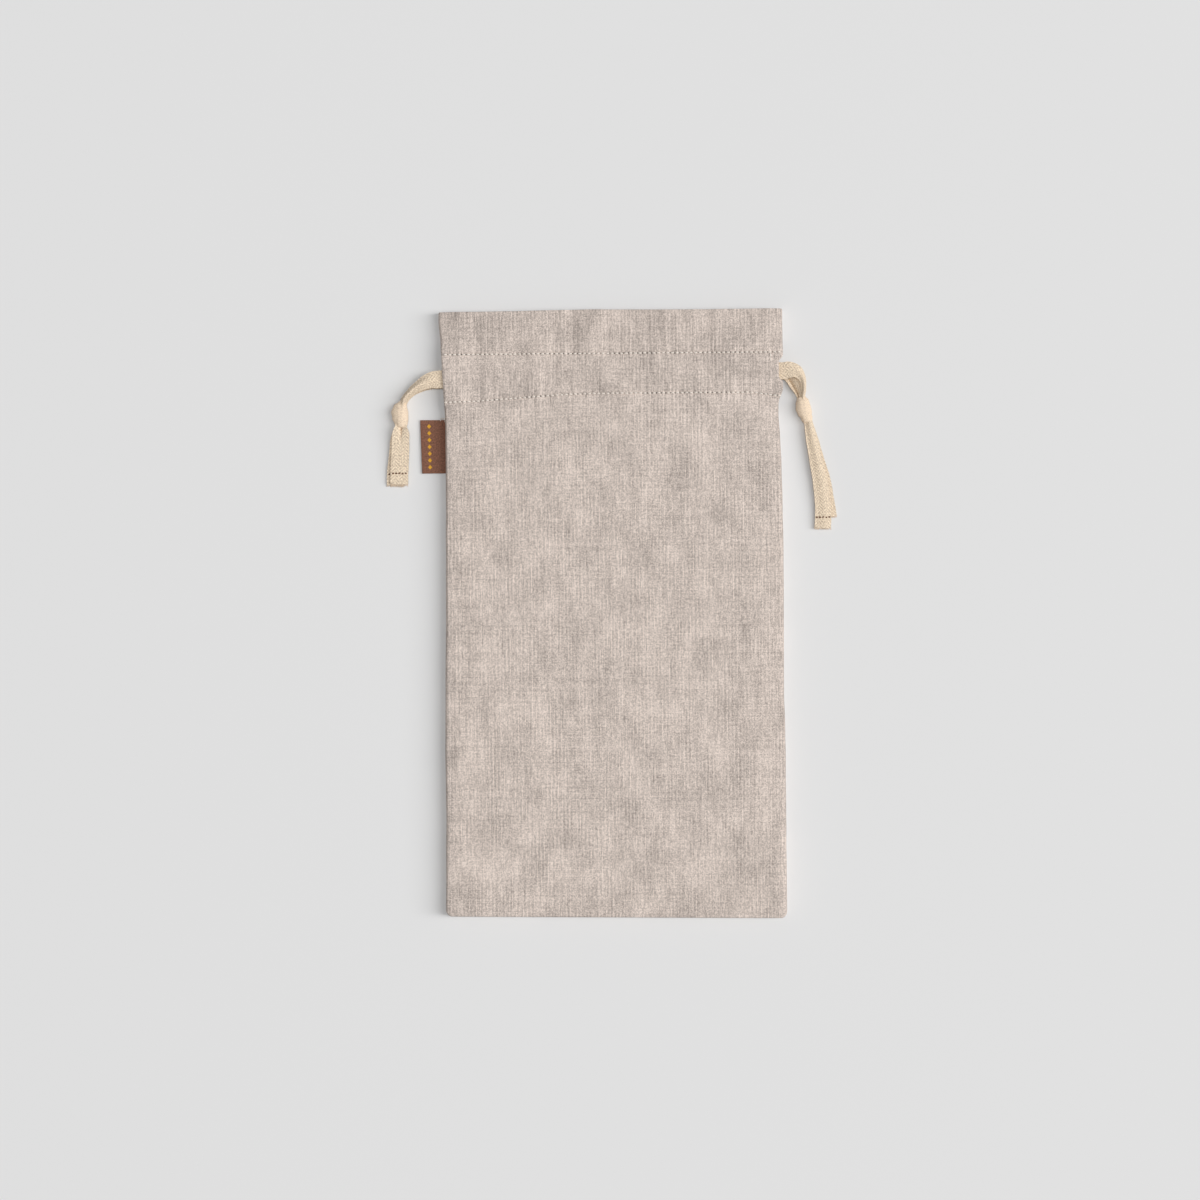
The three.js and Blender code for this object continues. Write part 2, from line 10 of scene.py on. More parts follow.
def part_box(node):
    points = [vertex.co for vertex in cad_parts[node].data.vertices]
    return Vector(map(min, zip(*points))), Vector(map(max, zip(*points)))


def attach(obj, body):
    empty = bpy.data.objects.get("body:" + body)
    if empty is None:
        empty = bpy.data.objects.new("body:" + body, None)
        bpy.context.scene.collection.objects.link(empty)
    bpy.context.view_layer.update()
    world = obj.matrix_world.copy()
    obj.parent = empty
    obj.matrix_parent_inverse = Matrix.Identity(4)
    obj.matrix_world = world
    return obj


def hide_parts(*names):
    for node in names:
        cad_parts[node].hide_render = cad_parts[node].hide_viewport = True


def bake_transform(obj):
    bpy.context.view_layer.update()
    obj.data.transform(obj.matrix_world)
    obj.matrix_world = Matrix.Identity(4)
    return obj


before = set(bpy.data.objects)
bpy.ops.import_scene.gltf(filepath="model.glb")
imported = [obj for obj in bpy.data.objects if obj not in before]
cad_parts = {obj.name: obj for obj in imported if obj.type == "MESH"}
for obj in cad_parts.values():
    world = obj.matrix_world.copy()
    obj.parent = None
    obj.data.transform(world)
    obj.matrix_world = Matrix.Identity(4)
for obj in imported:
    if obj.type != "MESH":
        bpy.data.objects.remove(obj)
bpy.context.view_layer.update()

bl_info = {
    "name": "Linen Bread Bag",
    "version": (1, 0, 0),
    "blender": (4, 5, 0),
    "location": "View3D > Sidebar > Bread Bag",
    "description": "Makes a flat linen bread bag with stitched channels, knotted tapes and a side label",
    "category": "Object",
}

MM = 0.001
SIDES = {"left": -1, "right": 1}
CLOTH_MAP = "Cloth"
THREAD_MAP = "Thread"


def colour(code):
    """Linear red, green and blue of an sRGB hex colour."""
    channels = [int(code[i:i + 2], 16) / 255 for i in (1, 3, 5)]
    return tuple(c / 12.92 if c <= 0.04045 else ((c + 0.055) / 1.055) ** 2.4 for c in channels)


def node_box(node):
    """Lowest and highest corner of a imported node, in millimetres."""
    return [Vector(corner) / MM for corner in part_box(node)]


# Places and heights in millimetres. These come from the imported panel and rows.
FRONT_LOW, FRONT_HIGH = node_box("front_panel")
HALF = FRONT_HIGH.x
TOP = FRONT_HIGH.y
BOTTOM = FRONT_LOW.y
FRONT_TOP = FRONT_HIGH.z
PACKED_THREAD = 0.5
UPPER_ROW = sum(corner.y for corner in node_box("front_upper_row")) / 2
LOWER_ROW = node_box("front_lower_row")[1].y - PACKED_THREAD / 2
# Height of the front panel at its seams, and of the seam thread
EDGE_TOP = 2.7
SEAM_Z = 1.35
# The tape slots: their ends up the cloth, how fast they open there, and how much of the bag's height they open
SLOT_LOW = 150.8
SLOT_HIGH = 200.6
SLOT_RISE = 9
SLOT_HEIGHT = 0.8
# How far in from its edge the cloth is drawn with it, its roll at the sides and at the bottom, and its corners
EDGE_DRAW = 22
EDGE_ROLL = 2.6
FOOT_ROLL = 1.7
CORNER = 5
# The sides: their bulge, how far they tuck in at the seam, and a narrow and a full seam allowance
BULGE = 0.3
TUCK = 0.8
SEAM_NARROW = 0.9
SEAM_FULL = 7.9
# The facing: how far it stays back from the slots, its hem below the lower row, and its room for the tapes
SLOT_HEM = 16
HEM = 7
CHANNEL_GAP = 1.2
# The tapes: their heights in the channels, and how far up they lie at the slots and in the channels
FRONT_TAPE_Z = 11.6
BACK_TAPE_Z = 1.2
EXIT_Y = {"left": 172.5, "right": 176.8}
RUN_Y = {"left": 169.0, "right": 179.8}


def size(name, description, millimetres):
    return FloatProperty(name=name, description=description, default=millimetres * MM, unit="LENGTH")


def tint(name, description, code):
    return FloatVectorProperty(name=name, description=description, subtype="COLOR", default=colour(code))


class BreadBagSizes(bpy.types.PropertyGroup):
    """Sizes of the cloth, the stitches and the tape."""

    cloth: size("Cloth", "Thickness of one layer of linen", 0.5)
    fold: size("Fold", "Radius of a pressed fold, at the middle of the cloth", 0.3)
    slack: size("Slack", "Height of the soft waves of the empty bag", 0.8)
    pucker: size("Pucker", "Depth of the puckers beside a stitch row", 0.55)
    stitch: size("Stitch", "Length from one needle hole to the next", 3.4)
    thread: size("Thread", "Thickness of the sewing thread", 1.05)
    tape: size("Tape", "Width of the drawstring tape", 13)
    tape_cloth: size("Tape cloth", "Thickness of the drawstring tape", 0.55)


class BreadBagColours(bpy.types.PropertyGroup):
    """Colours of the yarns, ribbons and table."""

    linen: tint("Linen", "Mean colour of the flax yarn", "#CABDB4")
    thread: tint("Thread", "Sewing thread of the bag", "#F1E8DE")
    tape: tint("Tape", "Unbleached cotton tape", "#E8D1B9")
    tape_thread: tint("Tape thread", "Thread that hems the tapes", "#6B4630")
    label: tint("Label", "Woven label ribbon", "#7F5643")
    lozenge: tint("Lozenges", "Woven lozenges of the label ribbon", "#D9A02E")
    table: tint("Table", "Floor under the bag", "#E0E0E0")


# Nodes and materials

def add_node(tree, kind, *values, out=0, named=None, **settings):
    """Adds a node and gives one output. An input, in order or by name, is a value or a socket to link."""
    node = tree.nodes.new("ShaderNode" + kind)
    for name, value in settings.items():
        setattr(node, name, value)
    for place, value in [*enumerate(values), *(named or {}).items()]:
        if isinstance(value, bpy.types.NodeSocket):
            tree.links.new(value, node.inputs[place])
        else:
            node.inputs[place].default_value = value
    return node.outputs[out]


def new_material(name, roughness):
    material = bpy.data.materials.new(name)
    material.use_nodes = True
    tree = material.node_tree
    shader = tree.nodes["Principled BSDF"]
    shader.inputs["Roughness"].default_value = roughness
    shader.inputs["Specular IOR Level"].default_value = 0.2
    return material, tree, shader


def cloth_place(tree):
    """The place on the cloth, and how far across and along it that is, in millimetres."""
    place = add_node(tree, "UVMap", uv_map=CLOTH_MAP)
    across, along, _ = add_node(tree, "SeparateXYZ", place).node.outputs
    return place, across, along


def dress(tree, shader, rgb, height, strength, depth):
    """Gives a shader its colour, and a relief of that depth in millimetres."""
    tree.links.new(rgb, shader.inputs["Base Color"])
    relief = add_node(tree, "Bump", named={"Height": height, "Strength": strength, "Distance": depth * MM})
    tree.links.new(relief, shader.inputs["Normal"])


def unevenness(tree, place, across, along, detail):
    """Noise over the cloth, of that many waves to the millimetre across and along it."""
    spot = add_node(tree, "VectorMath", place, (across, along, 1.0), operation="MULTIPLY")
    return add_node(tree, "TexNoise", named={"Vector": spot, "Scale": 1.0, "Detail": detail})


def shade_of(rgb, factor):
    return tuple(min(1.0, channel * factor) for channel in rgb) + (1.0,)


def linen_material(name, colours):
    """Flax linen, plain-woven and washed: matt, its uneven yarns showing as pale and dark streaks."""
    material, tree, shader = new_material(name, 0.93)
    stitch = bpy.context.scene.bread_bag_sizes.stitch / MM
    place, u, v = cloth_place(tree)
    # The cloth has about 15 yarns in 10 mm, each with its own stretch of the noise that thickens it.
    pitch = 0.66
    seeds_apart = 7.31
    # Slubs run far along the warp yarns and further, but fainter, along the weft: (length, strength).
    warp_slubs = ((9.0, 0.50), (45.0, 0.38))
    weft_slubs = ((5.0, 0.16), (70.0, 0.30))
    yarns = []
    shares = []
    for across, along, seed, slubs in ((u, v, 3.0, warp_slubs), (v, u, 57.0, weft_slubs)):
        count = add_node(tree, "Math", across, pitch, operation="DIVIDE")
        index = add_node(tree, "Math", count, operation="FLOOR")
        part = add_node(tree, "Math", count, operation="FRACT")
        turn = add_node(tree, "Math", part, math.pi, operation="MULTIPLY")
        hump = add_node(tree, "Math", turn, operation="SINE")
        apart = add_node(tree, "Math", index, seeds_apart, operation="MULTIPLY")
        for run, share in slubs:
            length = add_node(tree, "Math", along, run, operation="DIVIDE")
            spot = add_node(tree, "CombineXYZ", apart, length, seed + run)
            slub = add_node(tree, "TexNoise", named={"Vector": spot, "Scale": 1.0, "Detail": 0.0})
            shares.append((slub, share))
        yarns.append((index, hump))
    (warp_index, warp_hump), (weft_index, weft_hump) = yarns
    cell = add_node(tree, "CombineXYZ", warp_index, weft_index)
    fleck = add_node(tree, "TexWhiteNoise", named={"Vector": cell}, noise_dimensions="2D")
    patches = unevenness(tree, place, 0.05, 0.035, 1.0)
    tone = 0.5
    for source, share in (*shares, (fleck, 0.56), (patches, 0.62)):
        centred = add_node(tree, "Math", source, 0.5, operation="SUBTRACT")
        tone = add_node(tree, "Math", centred, share, tone, operation="MULTIPLY_ADD")
    # In places every fourth warp yarn is paler, which draws thin upright lines.
    fourth = add_node(tree, "Math", warp_index, 4.0, operation="FLOORED_MODULO")
    pale = add_node(tree, "Math", fourth, 0.5, operation="LESS_THAN")
    pale = add_node(tree, "Math", pale, 0.25, operation="SUBTRACT")
    lined = add_node(tree, "MapRange", unevenness(tree, place, 0.06, 0.03, 1.0), 0.35, 0.65, 0.0, 0.24)
    tone = add_node(tree, "Math", pale, lined, tone, operation="MULTIPLY_ADD")
    # Each yarn is round, so the cloth is darker between the yarns: painted shade there, and painted highlight
    # on the yarn crowns.
    crossing = add_node(tree, "Math", warp_index, weft_index, operation="ADD")
    over = add_node(tree, "Math", crossing, 2.0, operation="FLOORED_MODULO")
    height = add_node(tree, "Mix", named={0: over, 2: warp_hump, 3: weft_hump}, data_type="FLOAT")
    painted_yarn_shade = add_node(tree, "Math", height, 2 / math.pi, operation="SUBTRACT")
    tone = add_node(tree, "Math", painted_yarn_shade, 0.3, tone, operation="MULTIPLY_ADD")
    # Painted shade: the channel and header are double cloth, which lets less of the pale table's light shine
    # through, so they are drawn darker.
    double_cloth_shade = add_node(tree, "MapRange", v, LOWER_ROW - 1, LOWER_ROW + 1, 0.0, -0.045)
    tone = add_node(tree, "Math", tone, double_cloth_shade, operation="ADD")
    rgb = tuple(colours.linen)
    flax = add_node(
        tree, "Mix", named={0: tone, 6: shade_of(rgb, 0.52), 7: shade_of(rgb, 1.48)}, out=2,
        data_type="RGBA", clamp_factor=True)
    # Needle holes along the two rows, a stitch apart, painted dark as the shade inside them
    step = add_node(tree, "Math", u, stitch, operation="DIVIDE")
    share = add_node(tree, "Math", step, operation="FRACT")
    off = add_node(tree, "Math", share, 0.5, operation="SUBTRACT")
    side = add_node(tree, "Math", off, stitch, operation="MULTIPLY")
    reaches = []
    for row in (UPPER_ROW, LOWER_ROW):
        rise = add_node(tree, "Math", v, row, operation="SUBTRACT")
        gap = add_node(tree, "CombineXYZ", side, rise)
        reaches.append(add_node(tree, "VectorMath", gap, out="Value", operation="LENGTH"))
    near = add_node(tree, "Math", *reaches, operation="MINIMUM")
    hole_shade = add_node(tree, "MapRange", near, 0.35, 0.95, 0.95, 0.0, interpolation_type="SMOOTHSTEP")
    # The holes are not all drawn open alike.
    drawn = add_node(tree, "MapRange", unevenness(tree, place, 0.06, 0.5, 1.0), 0.38, 0.6, 0.15, 1.0)
    hole_shade = add_node(tree, "Math", hole_shade, drawn, operation="MULTIPLY")
    holes_shaded_flax = add_node(tree, "Mix", named={0: hole_shade, 6: flax, 7: shade_of(rgb, 0.2)}, out=2, data_type="RGBA")
    dress(tree, shader, holes_shaded_flax, height, 0.5, 0.12)
    return material


def thread_material(name, colours, yarn):
    """Spun sewing thread, two plies twisted: matt, with painted shade in the fine slanting lines between the
    plies and painted light on the plies.
    """
    material, tree, shader = new_material(name, 0.8)
    rgb = tuple(getattr(colours, yarn))
    place = add_node(tree, "UVMap", uv_map=THREAD_MAP)
    ply_shade = add_node(
        tree, "TexWave", named={"Vector": place, "Scale": 0.5, "Distortion": 0.6}, out=1,
        wave_type="BANDS", bands_direction="DIAGONAL")
    shaded = add_node(
        tree, "Mix", named={0: ply_shade, 6: shade_of(rgb, 0.84), 7: shade_of(rgb, 1.1)}, out=2, data_type="RGBA")
    dress(tree, shader, shaded, ply_shade, 0.5, 0.08)
    return material


def tape_material(name, colours, shade=1.0, relief=1.0):
    """Cotton tape in herringbone twill, unbleached: matt cream with zigzag ribs whose shade is painted into the
    colour, smoother where drawn tight, and there painted lighter.
    """
    material, tree, shader = new_material(name, 0.9)
    # A shade above 1 paints the tape lighter, as painted light.
    rgb = shade_of(colours.tape, shade)[:3]
    place, across, along = cloth_place(tree)
    # Real ribs lie 1 mm apart along the tape. They are drawn 2.4 mm apart so that they show.
    rib_pitch = 2.4
    zigzag_width = 3.25
    zigzag = add_node(tree, "Math", across, zigzag_width, operation="PINGPONG")
    slant = add_node(tree, "Math", zigzag, along, operation="ADD")
    turn = add_node(tree, "Math", slant, 2 * math.pi / rib_pitch, operation="MULTIPLY")
    rib = add_node(tree, "Math", turn, operation="SINE")
    yarn = unevenness(tree, place, 1.1, 0.3, 3.0)
    lint = add_node(tree, "TexNoise", named={"Vector": place, "Scale": 0.8, "Detail": 2.0})
    # The ribs' shade is painted in: the colour darkens in their grooves and lightens on their crests.
    tone = add_node(tree, "Math", rib, 0.13, yarn, operation="MULTIPLY_ADD")
    tone = add_node(tree, "Math", lint, 2.0, tone, operation="MULTIPLY_ADD")
    tone = add_node(tree, "Math", tone, 1.0, operation="SUBTRACT")
    contrast = 0.32 * relief
    shaded = add_node(
        tree, "Mix", named={0: tone, 6: shade_of(rgb, 1 - contrast), 7: shade_of(rgb, 1 + contrast)}, out=2,
        data_type="RGBA", clamp_factor=True)
    dress(tree, shader, shaded, rib, 0.6 * relief, 0.2)
    return material


def label_material(name, colours):
    """Woven label ribbon of polyester: brown, fine weft ribs, a low sheen and a row of woven lozenges."""
    material, tree, shader = new_material(name, 0.62)
    place, across, along = cloth_place(tree)
    # Picks of 0.4 mm, drawn at 0.9 mm so that they show; their shade is painted into the colour as well as
    # raised as a bump
    pick_pitch = 0.9
    turn = add_node(tree, "Math", along, 2 * math.pi / pick_pitch, operation="MULTIPLY")
    pick = add_node(tree, "Math", turn, operation="SINE")
    grain = add_node(tree, "TexNoise", named={"Vector": place, "Scale": 0.9, "Detail": 3.0})
    grain = add_node(tree, "MapRange", grain, 0.3, 0.7)
    tone = add_node(tree, "Math", pick, 0.12, grain, operation="MULTIPLY_ADD")
    rgb = tuple(colours.label)
    brown = add_node(
        tree, "Mix", named={0: tone, 6: shade_of(rgb, 0.62), 7: shade_of(rgb, 1.38)}, out=2,
        data_type="RGBA", clamp_factor=True)
    # A row of plain lozenges along the ribbon, five millimetres apart
    row_middle = 13.5
    row_end = 17.4
    half_gap = 2.5
    half_wide = 1.55
    half_long = 1.75
    off = add_node(tree, "Math", across, row_middle, operation="SUBTRACT")
    off = add_node(tree, "Math", off, operation="ABSOLUTE")
    off = add_node(tree, "Math", off, half_wide, operation="DIVIDE")
    step = add_node(tree, "Math", along, half_gap, operation="PINGPONG")
    lozenge = add_node(tree, "Math", step, 1 / half_long, off, operation="MULTIPLY_ADD")
    ends = add_node(tree, "Math", along, operation="ABSOLUTE")
    within = add_node(tree, "Math", ends, row_end, operation="LESS_THAN")
    drawn = add_node(tree, "MapRange", lozenge, 0.85, 1.1, 1.0, 0.0)
    drawn = add_node(tree, "Math", drawn, within, operation="MULTIPLY")
    woven = add_node(
        tree, "Mix", named={0: drawn, 6: brown, 7: tuple(colours.lozenge) + (1.0,)}, out=2, data_type="RGBA")
    dress(tree, shader, woven, tone, 0.4, 0.1)
    shader.inputs["Sheen Weight"].default_value = 0.15
    return material


def table_material(name, colours):
    """Painted board, matt: pale grey and even, so that only the bag's own shadow shows."""
    material, _, shader = new_material(name, 0.95)
    shader.inputs["Base Color"].default_value = tuple(colours.table) + (1.0,)
    shader.inputs["Specular IOR Level"].default_value = 0.0
    return material


MATERIALS = {
    "linen": ("Flax linen, plain weave", linen_material, {}),
    "thread": ("Spun linen sewing thread", thread_material, {"yarn": "thread"}),
    "tape_thread": ("Spun brown sewing thread", thread_material, {"yarn": "tape_thread"}),
    "tape_yarn": ("Carded cotton yarn", thread_material, {"yarn": "tape"}),
    "tape": ("Cotton twill tape", tape_material, {}),
    # The knots' tape: smoother ribs, as it is drawn tight, and painted 8 % lighter for the light the knots
    # catch.
    "tight_tape": ("Cotton twill tape, drawn tight", tape_material, {"shade": 1.08, "relief": 0.6}),
    "label": ("Polyester woven ribbon", label_material, {}),
    "table": ("Painted board, matt", table_material, {}),
}


def material_of(key):
    """The finished material of that key, made at its first use."""
    name, make, settings = MATERIALS[key]
    return bpy.data.materials.get(name) or make(name, bpy.context.scene.bread_bag_colours, **settings)


# Meshes

def pick_only(piece):
    bpy.ops.object.select_all(action="DESELECT")
    piece.select_set(True)
    bpy.context.view_layer.objects.active = piece


def mesh_piece(name, points, faces, places, map_name, material):
    """A new object from points in millimetres, with a UV place for each point."""
    mesh = bpy.data.meshes.new(name)
    mesh.from_pydata([Vector(point) * MM for point in points], [], faces)
    layer = mesh.uv_layers.new(name=map_name)
    for loop in mesh.loops:
        layer.data[loop.index].uv = places[loop.vertex_index]
    mesh.materials.append(material_of(material))
    piece = bpy.data.objects.new(name, mesh)
    bpy.context.scene.collection.objects.link(piece)
    return piece


def grid_faces(rows, columns, first=0, flip=False):
    faces = []
    for r in range(rows - 1):
        for c in range(columns - 1):
            a = first + r * columns + c
            quad = (a, a + 1, a + columns + 1, a + columns)
            faces.append(quad[::-1] if flip else quad)
    return faces


def thicken(piece, thickness, angle):
    """Gives a sheet its thickness, half to each side, and smooths it but for its cut edges."""
    pick_only(piece)
    bpy.ops.object.mode_set(mode="EDIT")
    bpy.ops.mesh.select_all(action="SELECT")
    bpy.ops.mesh.remove_doubles(threshold=0.004 * MM)
    bpy.ops.object.mode_set(mode="OBJECT")
    solid = piece.modifiers.new("Cloth", "SOLIDIFY")
    solid.thickness = thickness
    solid.offset = 0
    bpy.ops.object.modifier_apply(modifier=solid.name)
    bpy.ops.object.shade_smooth_by_angle(angle=math.radians(angle))


def smoothstep(value, low, high):
    share = min(max((value - low) / (high - low), 0.0), 1.0)
    return share * share * (3 - 2 * share)


def spread(low, high, step):
    """Even stations from low to high, about step apart, ends included."""
    count = max(1, round(abs(high - low) / step))
    return [low + (high - low) * i / count for i in range(count + 1)]


def chained(start, *legs):
    """Stations from start through legs of (end, step)."""
    stations = [start]
    for end, step in legs:
        stations += spread(start, end, step)[1:]
        start = end
    return stations


def wave(x, y, z=0.0):
    return noise.noise(Vector((x, y, z)))


# How the pieces take the place of the imported nodes

def hand_over(piece, slot, body, *nodes):
    """A piece that rides one body, in the place of those nodes."""
    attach(piece, body)
    if nodes:
        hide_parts(*nodes)


def hand_over_half(piece, node):
    """A left or right half: its place is baked into its points, and it takes the place of that node."""
    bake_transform(piece)
    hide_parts(node)


# Shape of the bag. A place on a panel is (x, v), with v up the cloth before the sag of the lower row.

def row_dip(x):
    """How far the lower row dips: slowly towards the left side, and only near the edge at the right."""
    left = 5.6 * smoothstep(-x, HALF - 115, HALF)
    right = 2.8 * smoothstep(x, HALF - 26, HALF)
    return left + right


def sagged(x, v):
    """How far up the table a place on the cloth lies: its lower row, top and bottom aren't quite straight."""
    above = (UPPER_ROW - 1.2 - v) / (UPPER_ROW - LOWER_ROW - 2.4)
    below = (v - LOWER_ROW + 91.2) / 90
    height = v - row_dip(x) * min(max(min(above, below), 0.0), 1.0)
    height += (0.7 * math.exp(-((x + 18) / 42) ** 2) + 0.003 * x) * smoothstep(v, UPPER_ROW, TOP)
    return height - 1.3 * (1.3 + x / 100) * smoothstep(-v, 20, -BOTTOM)


# How far each side edge draws in from a straight line, up the cloth: (v, millimetres)
EDGE_INSETS = {
    -1: (
        (-222, -0.4), (-150, 0.2), (-100, 0.1), (-50, 0.5), (0, 1.3), (75, 1.9), (112, 2.0), (135, 1.9),
        (156, 1.6), (168, 1.1), (182, 0.0), (190, -0.4), (197, -1.1), (215, -2.3), (222, -2.3)),
    1: (
        (-222, -0.3), (-110, -0.2), (-85, 0.0), (-60, 0.6), (-20, 0.4), (40, 0.1), (80, 0.6), (108, 1.0),
        (130, 2.1), (148, 3.0), (156, 3.0), (167, -0.2), (171, -0.2), (173, 2.8), (184, 2.8), (188.5, -0.3),
        (222, -0.4)),
}


def edge_reach(side, v):
    """How far a side edge lies from the middle. It draws in below the slot, and at the right slot itself."""
    stops = EDGE_INSETS[side]
    inset = stops[0][1] if v < stops[0][0] else stops[-1][1]
    for (low, a), (high, b) in zip(stops, stops[1:]):
        if low <= v <= high:
            inset = a + (b - a) * smoothstep(v, low, high)
    reach = HALF - inset + 0.3 * wave(v / 23, 4.0 * side)
    corner = CORNER - min(max(v - BOTTOM, 0.4), CORNER)
    return reach - CORNER + math.sqrt(CORNER ** 2 - corner ** 2)


def rolled(distance, roll):
    """Share of the bag's height that far in from an edge: a tight roll at the edge, then a slow rise."""
    turned = 1 - (1 - min(max(distance / roll, 0.0), 1.0)) ** 4.5
    return turned * (1 - 0.12 * (1 - min(max(distance / 10, 0.0), 1.0)) ** 2)


def tucked(share):
    """How far the cloth reaches out, that share of the way down a side: a slight bulge, then in to the seam."""
    return BULGE * math.sin(math.pi * share) - TUCK * share ** 3


def slot_open(v):
    """1 along the tape slot, 0 above and below it."""
    above = smoothstep(v, SLOT_LOW, SLOT_LOW + SLOT_RISE)
    return above * (1 - smoothstep(v, SLOT_HIGH - SLOT_RISE, SLOT_HIGH))


def row_pinch(x, v, stitch):
    """How far the cloth is drawn in by the stitch rows, most at the needle holes."""
    depth = 0.0
    for row in (UPPER_ROW, LOWER_ROW):
        near = math.exp(-((v - row) / 1.4) ** 2)
        depth += near * (0.62 - 0.2 * math.cos(2 * math.pi * x / stitch))
    return depth


def soft_waves(x, v, sizes):
    """The unevenness of empty cloth: slow waves, and puckers that fade away from the stitch rows."""
    slack = sizes.slack / MM
    pucker = sizes.pucker / MM
    inside = smoothstep(HALF - abs(x), 2, 26) * smoothstep(v - BOTTOM, 4, 40)
    body = 1 - smoothstep(v, LOWER_ROW - 30, LOWER_ROW - 4)
    slow = 0.62 * wave(x / 52, v / 80, 2.0) + 0.38 * wave(x / 21, v / 44, 9.0)
    height = slack * slow * inside * (0.25 + 0.75 * body)
    for row in (UPPER_ROW, LOWER_ROW):
        near = math.exp(-((v - row) / 10) ** 2)
        height += pucker * near * (wave(x / 6.5, row, v / 26) + 0.6 * wave(x / 2.9, row + 5.0, v / 9))
    above = smoothstep(v, LOWER_ROW - 8, LOWER_ROW + 4)
    height += slack * above * (2.1 * wave(x / 16, v / 90, 21.0) + 0.9 * wave(x / 6.5, v / 50, 33.0))
    return height


def front_face(side, x, v, sizes):
    """Height of the outer face of the front panel."""
    raised = rolled(edge_reach(side, v) - abs(x), EDGE_ROLL)
    slot = SLOT_HEIGHT * slot_open(v)
    opened = max(raised, slot + (1 - slot) * raised)
    foot = rolled(v - BOTTOM, FOOT_ROLL)
    height = EDGE_TOP + (FRONT_TOP - EDGE_TOP) * opened * foot
    height -= row_pinch(x, v, sizes.stitch / MM)
    waves = soft_waves(x, v, sizes)
    # The tapes hold the cloth of the channel up.
    if LOWER_ROW < v < UPPER_ROW:
        waves = 0.5 * (waves + math.sqrt(waves ** 2 + 0.06))
    exit_y = EXIT_Y["right" if side > 0 else "left"]
    lift = 0.6 * math.exp(-((v - exit_y) / 9) ** 2) * smoothstep(abs(x), HALF - 14, HALF)
    return height + waves + lift


def back_face(side, x, v, sizes):
    """Height of the outer face of the back panel, which lies on the table."""
    return row_pinch(x, v, sizes.stitch / MM)


# Each panel: its outer face, and the way from there to the inside of the bag
PANELS = {"front": (front_face, -1), "back": (back_face, 1)}


def on_panel(panel, u, v, sizes):
    """A point on a panel's outer face, from its flat place on the cloth."""
    side = 1 if u >= 0 else -1
    x = side * min(abs(u), edge_reach(side, v) - 0.6)
    face, _ = PANELS[panel]
    return Vector((x, sagged(x, v), face(side, x, v, sizes)))


def between_rows(v, low, high):
    """1 in the channel and 0 outside, changing between these distances in from each row."""
    above = smoothstep(v, LOWER_ROW + low, LOWER_ROW + high)
    return above * (1 - smoothstep(v, UPPER_ROW - high, UPPER_ROW - low))


